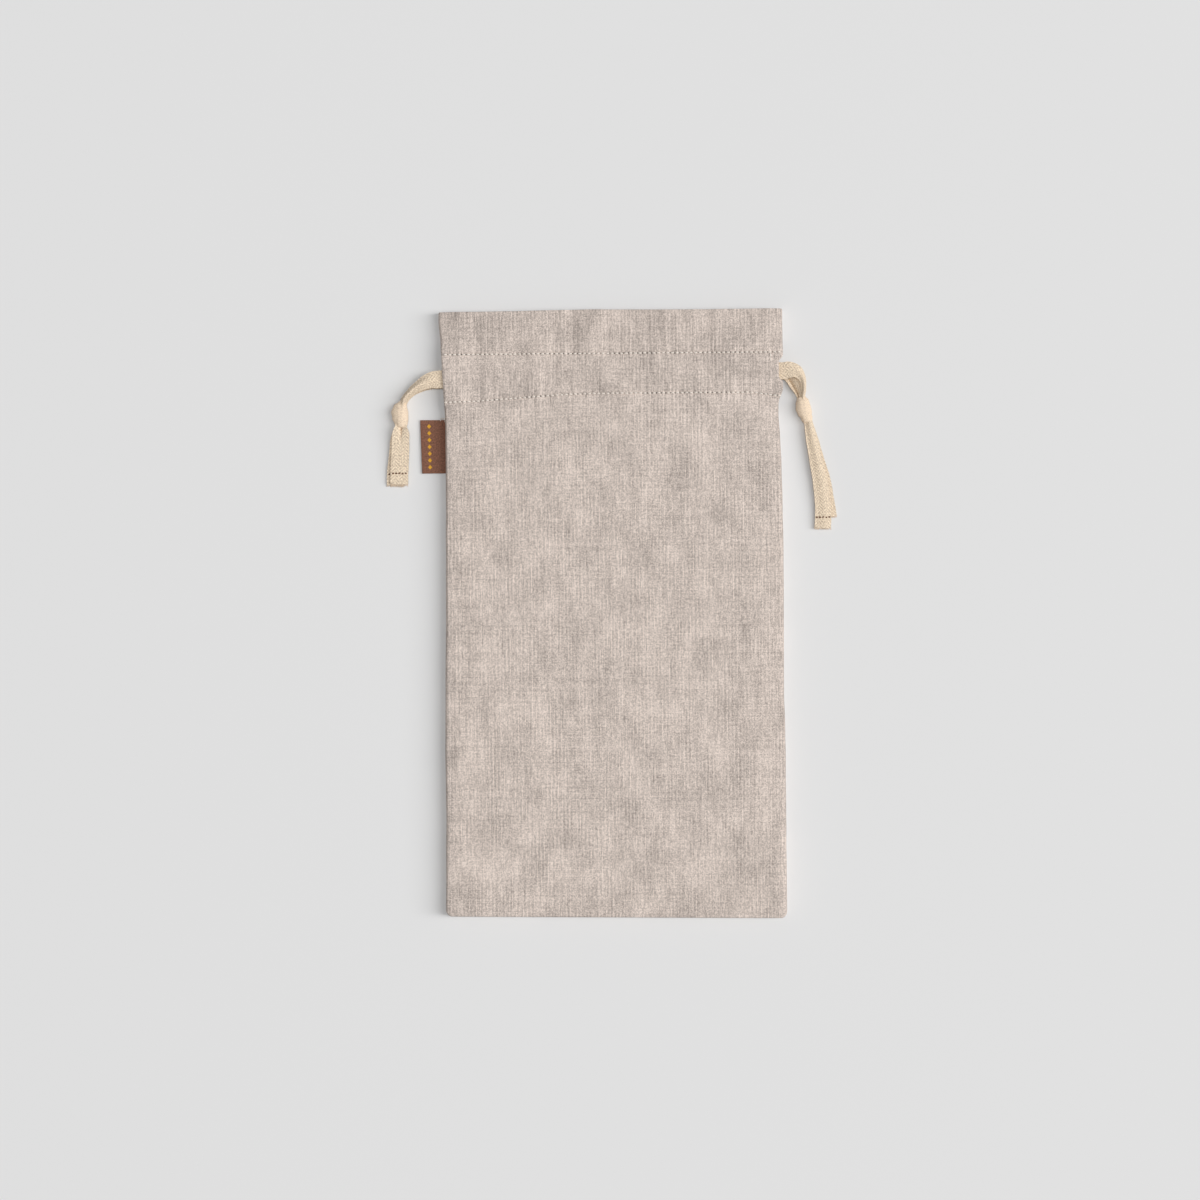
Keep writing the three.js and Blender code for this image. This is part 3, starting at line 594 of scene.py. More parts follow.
def panel_half(panel, name, column, sizes):
    """One half of a panel: the outer layer turned in at its seams, and its top turned down as the facing."""
    side = SIDES[name]
    face, inward = PANELS[panel]
    cloth = sizes.cloth / MM
    fold = sizes.fold / MM
    bend = spread(0, math.pi, math.pi / 5)
    turn = fold + cloth / 2
    foot = BOTTOM + turn
    folded_drop = 4 / 3 * fold

    def seam_width(v):
        full = smoothstep(v, BOTTOM + 10, BOTTOM + 16) * (1 - smoothstep(v, SLOT_LOW - 8, SLOT_LOW - 1))
        return SEAM_NARROW + (SEAM_FULL - SEAM_NARROW) * full

    def drop_height(outer_z, v):
        """How far the cloth goes down from its rolled edge to the seam. At the open slots it is only folded."""
        if panel == "back":
            return folded_drop
        return max(folded_drop, (outer_z - EDGE_TOP + 0.4) * (1 - slot_open(v)))

    outer = chained(
        foot, (BOTTOM + 4, 0.3), (BOTTOM + 8, 1.0), (SLOT_LOW - 4, 3.0), (LOWER_ROW + 6, 0.8),
        (UPPER_ROW - 6, 1.7), (UPPER_ROW + 6, 0.8), (TOP - turn - 0.8, 1.7))
    down_steps = spread(0, 1, 1 / 8)[1:]
    rows = [("turned", v) for v in (foot + 8, foot + 4, foot + TUCK + fold)]
    rows += [("side", share) for share in reversed(down_steps)]
    rows += [("outer", v) for v in outer]
    rows += [("top", angle) for angle in bend]
    # Columns lie closer where the cloth rolls over at the side.
    flat_share = 1 - 8 / HALF
    shares = chained(0, (flat_share, column / HALF), (1, 0.3 / HALF))
    columns = [("flat", share) for share in shares]
    columns += [("side", share) for share in down_steps]
    columns += [("turned", share) for share in (0.0, 0.3, 0.65, 1.0)]
    # The weave goes on evenly along the cloth that rolls over at the bottom.
    middle = side * HALF / 2
    lengths = {v: v for v in outer}
    low_rows = [v for v in outer if v <= BOTTOM + 8]
    for here, above in reversed(list(zip(low_rows, low_rows[1:]))):
        rise = face(side, middle, above, sizes) - face(side, middle, here, sizes)
        lengths[here] = lengths[above] - math.hypot(above - here, rise)
    foot_drop = drop_height(face(side, middle, foot, sizes), foot)
    points = []
    places = []
    for kind, value in rows:
        v, row_drop, folded, place_v = value, 0.0, 0.0, lengths.get(value, value)
        if kind == "side":
            v, row_drop, place_v = foot - tucked(value), value, lengths[foot] - foot_drop * value
        if kind == "turned":
            row_drop, place_v = 1.0, lengths[foot] - foot_drop - (value - foot)
        if kind == "top":
            v, folded = TOP - turn + fold * math.sin(value), fold * (1 - math.cos(value))
            place_v = TOP - turn + fold * value
        reach = edge_reach(side, max(v, BOTTOM + 0.4)) - turn
        for sort, amount in columns:
            x, drop, aside = HALF * amount, row_drop, 0.0
            x -= (HALF - reach) * smoothstep(x, HALF - EDGE_DRAW, HALF)
            if sort == "side":
                drop, aside = max(row_drop, amount), min(1.0, 3 * amount)
                x = reach + tucked(amount) - folded * aside
            if sort == "turned":
                drop, aside = 1.0, 1.0
                x = reach - TUCK - fold - amount * seam_width(v) - folded
            face_x = min(x, reach) if sort == "flat" or kind == "turned" else reach
            face_v = foot if kind == "turned" else min(max(v, foot), TOP)
            outer_z = face(side, side * face_x, face_v, sizes)
            depth = cloth / 2 + folded * (1 - aside) + drop * drop_height(outer_z, v)
            if "turned" in (kind, sort):
                depth += 2 / 3 * fold
            spot = Vector((side * x, sagged(side * x, v), outer_z + inward * depth))
            # Past the flat of the bag, the weave is measured along the cloth.
            place_u = x if sort == "flat" and amount <= flat_share else place_u + (spot - points[-1]).length
            points.append(spot)
            places.append((side * place_u, place_v))
    faces = grid_faces(len(rows), len(columns), flip=(side * inward > 0))
    # The facing goes down inside from the top fold, stands off at the channel and leaves the slots clear.
    first = len(points)
    inner = chained(
        TOP - turn, (UPPER_ROW + 4, 2.5), (UPPER_ROW - 4, 0.8), (LOWER_ROW + 4, 2.5), (LOWER_ROW - HEM, 0.8))
    for v in inner:
        room = between_rows(v, 0.2, 1.4)
        clear = between_rows(v, -1, 3)
        depth = cloth / 2 + 2 * fold + CHANNEL_GAP * room
        edge = edge_reach(side, v) - turn
        inset = smoothstep(TOP - turn - v, 0, 3) * 1.6
        reach = edge + (HALF - SLOT_HEM - edge) * clear - inset * (1 - clear)
        for share in shares:
            x = reach * share
            outer_z = face(side, side * x, min(v, TOP), sizes)
            points.append((side * x, sagged(side * x, v), outer_z + inward * depth))
            places.append((side * HALF * share, 2 * TOP - v))
    faces += grid_faces(len(inner), len(shares), first, flip=(side * inward > 0))
    piece = mesh_piece(f"{panel}_panel_{name}_half", points, faces, places, CLOTH_MAP, "linen")
    thicken(piece, sizes.cloth, 38)
    return piece


class BREAD_BAG_OT_panels(bpy.types.Operator):
    """Make the linen panels, each in a left and a right half"""

    bl_idname = "bread_bag.panels"
    bl_label = "Linen panels"

    def execute(self, context):
        sizes = context.scene.bread_bag_sizes
        for panel, column in (("back", 1.7), ("front", 0.85)):
            for name in SIDES:
                piece = panel_half(panel, name, column, sizes)
                hand_over_half(piece, f"{panel}_panel")
        return {"FINISHED"}


# Stitches

def stitch_shape():
    """Points and faces of one stitch, a millimetre long and thick, modelled once and then copied."""
    bpy.ops.object.select_all(action="DESELECT")
    bpy.ops.mesh.primitive_uv_sphere_add(segments=8, ring_count=6, radius=0.5)
    start = bpy.context.active_object
    bpy.ops.object.mode_set(mode="EDIT")
    bpy.ops.mesh.select_all(action="SELECT")
    bpy.ops.transform.rotate(value=math.pi / 2, orient_axis="Y", center_override=(0, 0, 0))
    bpy.ops.mesh.normals_make_consistent(inside=False)
    bpy.ops.object.mode_set(mode="OBJECT")
    points = [vertex.co.copy() for vertex in start.data.vertices]
    faces = [tuple(face.vertices) for face in start.data.polygons]
    mesh = start.data
    bpy.data.objects.remove(start)
    bpy.data.meshes.remove(mesh)
    for point in points:
        full = min(1.0, (1 - abs(2 * point.x) ** 4) ** 0.5)
        ring = math.hypot(point.y, point.z)
        if ring > 1e-5:
            point.y *= 0.5 * full / ring
            point.z *= 0.5 * full / ring
    return points, faces


def stitches_piece(name, stations, thickness, material):
    """One piece of many stitches. A station is its middle, its direction, the way up and its length."""
    shape, quads = stitch_shape()
    points = []
    faces = []
    places = []
    for middle, along, up, length in stations:
        across = up.cross(along).normalized()
        first = len(points)
        for point in shape:
            sink = 0.42 * thickness * (2 * point.x) ** 4
            spot = middle + along * (point.x * length) + across * (point.y * thickness)
            spot += up * (point.z * thickness - sink)
            # A stitch is pressed flat where it lies on the table.
            spot.z = max(spot.z, 0.02)
            points.append(spot)
            places.append((point.x * length, 2 * math.atan2(point.z, point.y)))
        faces += [tuple(first + index for index in quad) for quad in quads]
    piece = mesh_piece(name, points, faces, places, THREAD_MAP, material)
    pick_only(piece)
    bpy.ops.object.shade_smooth()
    return piece


class BREAD_BAG_OT_stitch_rows(bpy.types.Operator):
    """Sew the two channel rows on both panels, in halves like the panels, and the tack beside the right slot"""

    bl_idname = "bread_bag.stitch_rows"
    bl_label = "Stitch rows"

    def execute(self, context):
        sizes = context.scene.bread_bag_sizes
        stitch = sizes.stitch / MM
        thread = sizes.thread / MM
        chance = random.Random(7)
        half_stitch = 0.36 * stitch
        up = Vector((0, 0, 1))
        for panel, (_, inward) in PANELS.items():
            out = Vector((0, 0, -inward))
            for level, row in (("upper", UPPER_ROW), ("lower", LOWER_ROW)):
                for name, side in SIDES.items():
                    stations = []
                    # The stitch in the middle of a row belongs to its right half.
                    for number in range(0 if side > 0 else 1, int((HALF - 1.5) / stitch) + 1):
                        u = side * number * stitch
                        drift = row + chance.uniform(-0.12, 0.12)
                        here = on_panel(panel, u - half_stitch, drift + chance.uniform(-0.1, 0.1), sizes)
                        there = on_panel(panel, u + half_stitch, drift + chance.uniform(-0.1, 0.1), sizes)
                        middle = on_panel(panel, u, drift, sizes) + out * (0.32 * thread)
                        along = (there - here).normalized()
                        stations.append((middle, along, out, stitch * chance.uniform(0.68, 0.84)))
                    piece = stitches_piece(f"{panel}_{level}_row_{name}_half", stations, thread, "thread")
                    hand_over_half(piece, f"{panel}_{level}_row")
        tack = []
        for number in range(2):
            spot = on_panel("front", 116.0, UPPER_ROW - 2.2 - 3.1 * number, sizes) + up * (0.25 * thread)
            tack.append((spot, Vector((0.08, -1, 0)).normalized(), up, 2.7))
        piece = stitches_piece("right_slot_tack_stitches", tack, thread, "thread")
        hand_over(piece, "linen_thread", "right_side", "right_slot_tack")
        return {"FINISHED"}


class BREAD_BAG_OT_seams(bpy.types.Operator):
    """Sew the side, header and bottom seams, whose thread shows between the two folded edges"""

    bl_idname = "bread_bag.seams"
    bl_label = "Seams"

    def execute(self, context):
        sizes = context.scene.bread_bag_sizes
        thread = sizes.thread / MM
        chance = random.Random(11)
        up = Vector((0, 0, 1))
        inset = 0.55
        step = 2.6
        length = 2.1
        for name, side in SIDES.items():
            for kind, low, high in (("side", BOTTOM + 6, SLOT_LOW - 1), ("header", SLOT_HIGH + 1, TOP - 1)):
                stations = []
                for v in spread(low, high, step):
                    x = side * (edge_reach(side, v) - inset)
                    middle = Vector((x, sagged(x, v), SEAM_Z + chance.uniform(-0.06, 0.06)))
                    stations.append((middle, Vector((0, 1, 0)), up, length))
                piece = stitches_piece(f"{name}_{kind}_seam_stitches", stations, thread, "thread")
                hand_over(piece, "linen_thread", f"{name}_side", f"{name}_{kind}_seam")
            stations = []
            for x in spread(side * 1.3, side * (HALF - 5), step):
                middle = Vector((x, sagged(x, BOTTOM + inset), SEAM_Z + chance.uniform(-0.06, 0.06)))
                stations.append((middle, Vector((1, 0, 0)), up, length))
            piece = stitches_piece(f"bottom_seam_{name}_half", stations, thread, "thread")
            hand_over_half(piece, "bottom_seam")
        return {"FINISHED"}


# Tapes, in millimetres: from the end back to the hem stitches, and hidden inside the slot
HEM_FROM_END = 8.0
TAPE_IN = 3.4
# How far apart the two tapes lie in a channel, each way from its middle, where one overlaps the other
TAPE_OVER = 0.3
# Share of its width that a tape loses deep in a channel, where the gathered cloth needs room
RUN_SQUEEZE = 0.4
# Between the stations of a drawn tape, and between the points of the route that is told of it
TAPE_STEP = 1.3

# A stop is (out from the side edge, up from the slot's middle, height, width, roll in degrees, ridge).
# The ridge is 1 where a squeezed tape stands up along its middle and -1 where it sinks there.

STRANDS = {
    "left": {
        "front": [
            (-TAPE_IN, 0, 9.8, 13, 0, 1), (1.5, 0, 9.9, 13, 0, 1), (8.3, -0.6, 9.9, 11.8, 0, 0.7),
            (17.1, -4.4, 9.2, 8.0, 4, 0.7), (23.8, -9.4, 7.9, 5.8, 4, 0.8), (28.4, -15.2, 6.6, 5.0, 0, 1),
        ],
        "rear": [
            (-TAPE_IN, 0, 1.2, 13, 0, 1), (1.5, 0, 1.2, 13, 0, 1), (8.3, -0.6, 1.3, 12.4, 0, 1),
            (17.1, -4.4, 1.8, 9, 0, 1), (23.8, -9.4, 2.6, 6.2, 0, 1), (28.2, -15.2, 3.4, 5, 0, 1),
        ],
    },
    "right": {
        "front": [
            (-TAPE_IN, 0, 8.4, 12.4, 0, 0.6), (1.5, 0, 8.9, 12.4, 0, 0.6), (5.0, 0.6, 9.6, 12, 0, 0.4),
            (10.0, -0.4, 9.8, 9.8, -4, 0.3), (13.4, -3.8, 9.2, 6.6, -8, 0.3), (15.2, -8.4, 8.8, 4.2, -8, 0.35),
            (15.4, -13.6, 8.0, 3.7, -6, 0.4), (14.5, -19.4, 6.8, 4.0, -4, 0.5),
        ],
        "rear": [
            (-TAPE_IN, 0, 1.2, 13, 0, 0), (1.0, -0.4, 1.3, 12.6, 0, 0), (4.6, -2.6, 2.0, 10, 0, -0.5),
            (7.6, -7.0, 2.6, 8.6, 0, -0.9), (10.8, -13, 3.0, 7.4, 0, -1), (13.2, -19.4, 3.8, 4.6, 0, -0.6),
        ],
    },
}
TAILS = {
    "left": {
        "front": [
            (30.6, -33.6, 5.3, 8.4, 0, -0.8), (30.8, -38.2, 5.4, 12, 0, -1), (31, -44.5, 5.2, 12.8, 0, -0.6),
            (31.3, -52, 4.9, 13, 0, 0), (31.7, -60, 4.5, 13, 0, 0), (32.1, -67.6, 4.0, 13, 0, 0),
            (32.4, -76.2, 3.5, 13, 0, 0),
        ],
        "rear": [
            (31.3, -33.4, 3.4, 7.6, 0, -0.4), (31.7, -39.5, 3.3, 11.4, 0, -0.4), (32.5, -46.5, 3.1, 13, 0, 0),
            (33.9, -60, 2.4, 13, 0, 0), (34.8, -67.2, 1.9, 13, 0, 0), (35.3, -77.0, 1.4, 13, 0, 0),
        ],
    },
    "right": {
        "front": [
            (18.6, -36.8, 6.2, 6.0, 0, 0.3), (20.9, -49.5, 6.2, 8.0, 0, 0.28), (24.2, -65.6, 5.8, 9.6, 0, 0.3),
            (27, -80.4, 5.2, 10.6, 0, 0.3), (29.1, -97.3, 4.3, 11.6, 0, 0.3), (29.3, -105.6, 3.8, 11.9, 0, 0.3),
            (29, -115.3, 3.3, 11.9, 0, 0.3),
        ],
        "rear": [
            (18.7, -36.8, 3.6, 5.4, 0, -0.4), (21.6, -49.5, 3.6, 8.4, 0, -0.3),
            (25.4, -65.6, 3.3, 10.2, 0, -0.2), (29.2, -80.4, 2.6, 11.6, 0, 0), (31.8, -97.4, 1.8, 12.4, 0, 0),
            (33.2, -107, 1.4, 12.4, 0, 0),
        ],
    },
}
# Each tape: how often it is pleated across, and how far right of its middle the pleat's crest or valley lies
PLEATS = {
    "left": {"front": (1.0, 0.0), "rear": (1.0, 0.0)},
    "right": {"front": (1.0, 1.4), "rear": (1.0, -2.4)},
}
# Each knot: its two ends, its outline down from the top (share of its length, reach to the left, to the right),
# the strand that crosses its face (place at the top, at the bottom, half width) and where a collar starts
KNOTS = {
    "left": {
        "ends": ((29.5, -16.2, 4.9), (30.6, -34.2, 4.9)),
        "outline": (
            (0, 2.8, 2.6), (0.15, 6, 3.3), (0.4, 7.6, 4.6), (0.7, 6.7, 5), (0.9, 4.9, 4.6), (1, 3.8, 4)),
        "strand": (0.0, 1.0, 3.9),
        "collar": 2.0,
    },
    "right": {
        "ends": ((13.6, -19.8, 4.9), (18.5, -37.0, 4.9)),
        "outline": (
            (0, 3.2, 3.6), (0.2, 4.9, 4.8), (0.42, 6, 4.9), (0.65, 5.5, 4.8), (0.84, 3.9, 3.7), (1, 3.2, 3.1)),
        "strand": (1.4, 0.4, 4.4),
        "collar": 0.8,
    },
}


def placed(name, stop):
    """A stop's place on the table: millimetres in the bag's frame, then whatever else the stop holds."""
    side = SIDES[name]
    return (side * (HALF + stop[0]), EXIT_Y[name] + stop[1], *stop[2:])


def smooth_route(stops, gap):
    """Even stations on a smooth curve through the stops, with their other numbers carried along."""
    spots = [Vector(stop[:3]) for stop in stops]
    at = [0.0]
    for here, there in zip(spots, spots[1:]):
        at.append(at[-1] + (there - here).length)
    slopes = []
    for i in range(len(stops)):
        a, b = max(0, i - 1), min(len(stops) - 1, i + 1)
        slopes.append([(q - p) / (at[b] - at[a]) for p, q in zip(stops[a], stops[b])])
    route = []
    for d in spread(0, at[-1], gap):
        k = max(i for i in range(len(at) - 1) if at[i] <= d + 1e-9)
        span = at[k + 1] - at[k]
        t = (d - at[k]) / span
        mix = (2 * t ** 3 - 3 * t ** 2 + 1, t ** 3 - 2 * t ** 2 + t, 3 * t ** 2 - 2 * t ** 3, t ** 3 - t ** 2)
        route.append([
            mix[0] * p + mix[1] * span * m + mix[2] * q + mix[3] * span * n
            for p, m, q, n in zip(stops[k], slopes[k], stops[k + 1], slopes[k + 1])])
    return route


def tape_frames(route):
    """Middle, direction, way across and way up at each station of a tape."""
    spots = [Vector(station[:3]) for station in route]
    frames = []
    for i, station in enumerate(route):
        along = (spots[min(i + 1, len(spots) - 1)] - spots[max(i - 1, 0)]).normalized()
        across = Vector((0, 0, 1)).cross(along).normalized()
        across.rotate(Quaternion(along, math.radians(station[4])))
        frames.append((spots[i], along, across, along.cross(across)))
    return frames


def tape_piece(name, route, sizes, pleats, crease):
    """A length of tape along a route. Where it is squeezed narrower it stands up in lengthwise pleats."""
    full = sizes.tape / MM
    across_steps = spread(-full / 2, full / 2, full / 26)
    frames = tape_frames(route)
    rows = []
    gone = 0.0
    for i, (spot, along, across, up) in enumerate(frames):
        if i:
            gone += (spot - frames[i - 1][0]).length
        width = min(route[i][3], full)
        lack = math.sqrt(max(0.0, 1 - (width / full) ** 2))
        high = math.sqrt(2) * full / (2 * math.pi * pleats) * lack * route[i][5]
        row = []
        for q in across_steps:
            bow = abs(math.sin(math.pi * pleats * (q - crease) / full))
            rise = high * (1 - 2 * bow ** (2 if high > 0 else 0.5))
            rise += 0.16 * wave(q / 3.1, gone / 7, 3.0 * pleats)
            shift = 0.22 * wave(gone / 5, 2.0 if q > 0 else 8.0) * (2 * q / full) ** 2
            round_end = 0.9 * abs(2 * q / full) ** 5 if i == len(frames) - 1 else 0.0
            point = spot + across * (q * width / full + shift) + up * rise - along * round_end
            point.z = max(point.z, 0.35)
            row.append((point, (q, gone)))
        rows.append(row)
    # The end is folded under once and sewn down.
    spot, along, across, up = frames[-1]
    radius = 0.75 * sizes.tape_cloth / MM
    last = rows[-1]
    for angle in (math.pi / 4, math.pi / 2, 3 * math.pi / 4):
        shift = along * (radius * math.sin(angle)) - up * (radius * (1 - math.cos(angle)))
        rows.append([(point + shift, (q, gone + radius * angle)) for point, (q, _) in last])
    back = gone
    for i in range(len(frames) - 1, 0, -1):
        if back < gone - HEM_FROM_END - 1.2:
            break
        down = frames[i][3] * (-2 * radius)
        rows.append([(point + down, (q, 2 * gone - back)) for point, (q, _) in rows[i]])
        back -= (frames[i][0] - frames[i - 1][0]).length
    columns = len(across_steps)
    points = [point for row in rows for point, _ in row]
    places = [place for row in rows for _, place in row]
    piece = mesh_piece(name, points, grid_faces(len(rows), columns), places, CLOTH_MAP, "tape")
    thicken(piece, sizes.tape_cloth, 50)
    return piece


def knot_piece(name):
    """An overhand knot pulled tight: a bulb of wound tape, one strand crossing its face with raised edges."""
    facts = KNOTS[name]
    top, bottom = (Vector(placed(name, end)) for end in facts["ends"])
    along = (bottom - top).normalized()
    across = Vector((0, 0, 1)).cross(along).normalized()
    rise = along.cross(across)
    length = (bottom - top).length
    place_top, place_bottom, half = facts["strand"]
    around = 80
    rings = spread(-0.05, 1.05, 1 / 44)
    points = []
    places = []
    for share in rings:
        inside = min(max(share, 0.0), 1.0)
        for (low, a, b), (high, c, d) in zip(facts["outline"], facts["outline"][1:]):
            if low <= inside <= high:
                mix = smoothstep(inside, low, high)
                left, right = a + (c - a) * mix, b + (d - b) * mix
        past = max(-share, share - 1, 0.0) / 0.05
        close = math.sqrt(max(0.0, 1 - past ** 2)) + 0.02
        tall = 4.4 * (left + right) / 12.4
        cross = place_top + (place_bottom - place_top) * inside
        for k in range(around):
            angle = 2 * math.pi * k / around
            wide = (right if math.cos(angle) > 0 else left) * math.cos(angle)
            high = tall * math.sin(angle)
            lift = 0.0
            if high > 0:
                raised = smoothstep(inside, 0.0, 0.12) * (1 - smoothstep(inside, 0.8, 1.0))
                lift += 0.3 * raised * (1 - smoothstep(abs(wide - cross), half - 1.4, half + 0.6))
                lift += 0.05 * math.cos(2.2 * (wide - cross)) * smoothstep(high, 0, 2)
            lift += 0.4 * smoothstep(inside, facts["collar"], facts["collar"] + 0.07)
            lift += 0.16 * wave(wide / 2.6, inside * 5, high / 3)
            spot = top + along * (share * length)
            spot += (across * wide + rise * high) * close
            spot += (across * math.cos(angle) + rise * math.sin(angle)) * (lift * close)
            points.append(spot)
            places.append((angle * 5.2 + 2.5 * inside, 1.7 * share * length))
    faces = []
    for r in range(len(rings) - 1):
        for k in range(around):
            a, b = r * around + k, r * around + (k + 1) % around
            faces.append((a, b, b + around, a + around))
    for first, flip in ((0, True), ((len(rings) - 1) * around, False)):
        ring = [first + k for k in range(around)]
        faces.append(tuple(reversed(ring)) if flip else tuple(ring))
    # The knot is dressed in the tape that is painted lighter.
    piece = mesh_piece(f"{name}_tight_knot", points, faces, places, CLOTH_MAP, "tight_tape")
    pick_only(piece)
    bpy.ops.object.mode_set(mode="EDIT")
    bpy.ops.mesh.select_all(action="SELECT")
    bpy.ops.mesh.normals_make_consistent(inside=False)
    bpy.ops.object.mode_set(mode="OBJECT")
    bpy.ops.object.shade_smooth()
    return piece


def tail_stitches(name, tape, route, sizes):
    """Brown stitches across a tail, through its folded end."""
    frames = tape_frames(route)
    left = HEM_FROM_END
    i = len(frames) - 1
    while left > (frames[i][0] - frames[i - 1][0]).length / 2:
        left -= (frames[i][0] - frames[i - 1][0]).length
        i -= 1
    spot, along, across, up = frames[i]
    chance = random.Random(5)
    stations = []
    # The front tail hides the last stitch of the rear one at the right.
    for number in range(4 if (name, tape) == ("right", "rear") else 5):
        off = -4.7 + 2.35 * number
        way = (across + along * chance.uniform(-0.45, 0.45)).normalized()
        middle = spot + across * off + along * chance.uniform(-0.3, 0.3)
        middle += up * (0.5 * sizes.tape_cloth / MM + 0.25)
        stations.append((middle, way, up, chance.uniform(1.4, 1.8)))
    return stitches_piece(f"{name}_{tape}_tail_stitches", stations, 1.05, "tape_thread")


def tail_fray(name, tape, route, sizes):
    """Short cotton ends that stand out of the fold at the end of a tail."""
    spot, along, across, up = tape_frames(route)[-1]
    full = sizes.tape / MM
    chance = random.Random(name + tape)
    stations = []
    for number in range(22):
        off = full * (-0.47 + 0.94 * number / 21) + chance.uniform(-0.25, 0.25)
        way = (along + across * chance.uniform(-0.7, 0.7) + up * chance.uniform(-0.2, 0.1)).normalized()
        long = chance.uniform(0.9, 2.6)
        middle = spot + across * off + along * (0.3 + 0.2 * long) - up * chance.uniform(0.3, 0.75)
        middle.z = max(middle.z, 0.3)
        stations.append((middle, way, up, long))
    return stitches_piece(f"{name}_{tape}_tail_fray", stations, 0.42, "tape_yarn")


def channel_tape(name, sizes):
    """The tape inside the bag: along the front channel, round at the far slot, back along the rear one."""
    side = SIDES[name]
    turn_x = HALF - SLOT_HEM + 0.3
    end_x = HALF - TAPE_IN - 0.1
    stations = chained(end_x, (turn_x, 1.5), (-turn_x, 6))

    def lane(tape, channel_z, over):
        """The way along one channel. Where the two tapes overlap, the one that leaves lies further out."""
        exit_z = STRANDS[name][tape][0][2]
        stops = []
        for x in stations:
            y = EXIT_Y[name] + (RUN_Y[name] - EXIT_Y[name]) * smoothstep(end_x - x, 0, HALF)
            z = channel_z + over * (2 * smoothstep(x, -45, 45) - 1)
            stops.append((x, y, exit_z + (z - exit_z) * smoothstep(end_x - x, 0, end_x - turn_x)))
        return stops

    stops = lane("front", FRONT_TAPE_Z, TAPE_OVER)
    back = lane("rear", BACK_TAPE_Z, -TAPE_OVER)
    radius = (stops[-1][2] - back[-1][2]) / 2
    centre_z = (stops[-1][2] + back[-1][2]) / 2
    for angle in spread(0, math.pi, math.pi / 10)[1:-1]:
        stops.append((-turn_x - radius * math.sin(angle), RUN_Y[name], centre_z + radius * math.cos(angle)))
    stops += reversed(back)
    full = sizes.tape / MM
    across = (-0.5, -0.25, 0, 0.25, 0.5)
    points = []
    places = []
    gone = 0.0
    last = Vector(stops[0])
    for x, y, z in stops:
        gone += (Vector((x, y, z)) - last).length
        last = Vector((x, y, z))
        width = full * (1 - RUN_SQUEEZE * smoothstep(-x, -14, 14))
        for q in across:
            points.append((side * x, y + q * width, z))
            places.append((q * full, gone))
    faces = grid_faces(len(stops), len(across), flip=(side > 0))
    piece = mesh_piece(f"{name}_channel_tape", points, faces, places, CLOTH_MAP, "tape")
    thicken(piece, sizes.tape_cloth, 50)
    return piece


class BREAD_BAG_OT_drawstrings(bpy.types.Operator):
    """Lay the two drawstrings: each run in the channel, two free ends, their knot and their hem stitches"""

    bl_idname = "bread_bag.drawstrings"
    bl_label = "Drawstrings"

    def execute(self, context):
        sizes = context.scene.bread_bag_sizes
        for name in SIDES:
            body = f"{name}_drawstring"
            knot_top, knot_bottom = (Vector(placed(name, end)) for end in KNOTS[name]["ends"])
            middle = (knot_top + knot_bottom) / 2
            knot = knot_piece(name)
            hand_over(knot, "cotton_tape", body, f"{name}_knot")
            for tape, height in (("front", 1.0), ("rear", -1.2)):
                stops = [placed(name, stop) for stop in STRANDS[name][tape]]
                stops.append((middle.x, middle.y, middle.z + height, 4.6, 0, 0.5))
                stops += [placed(name, stop) for stop in TAILS[name][tape]]
                route = smooth_route(stops, TAPE_STEP)
                piece = tape_piece(f"{name}_{tape}_tape", route, sizes, *PLEATS[name][tape])
                hand_over(piece, "cotton_tape", body, f"{name}_{tape}_strand", f"{name}_{tape}_tail")
                sewn = tail_stitches(name, tape, route, sizes)
                hand_over(sewn, "brown_thread", body, f"{name}_{tape}_tail_stitch")
                fray = tail_fray(name, tape, route, sizes)
                hand_over(fray, "cotton_tape", body)
            hand_over(channel_tape(name, sizes), "cotton_tape", body, f"{name}_drawstring_run")
        return {"FINISHED"}


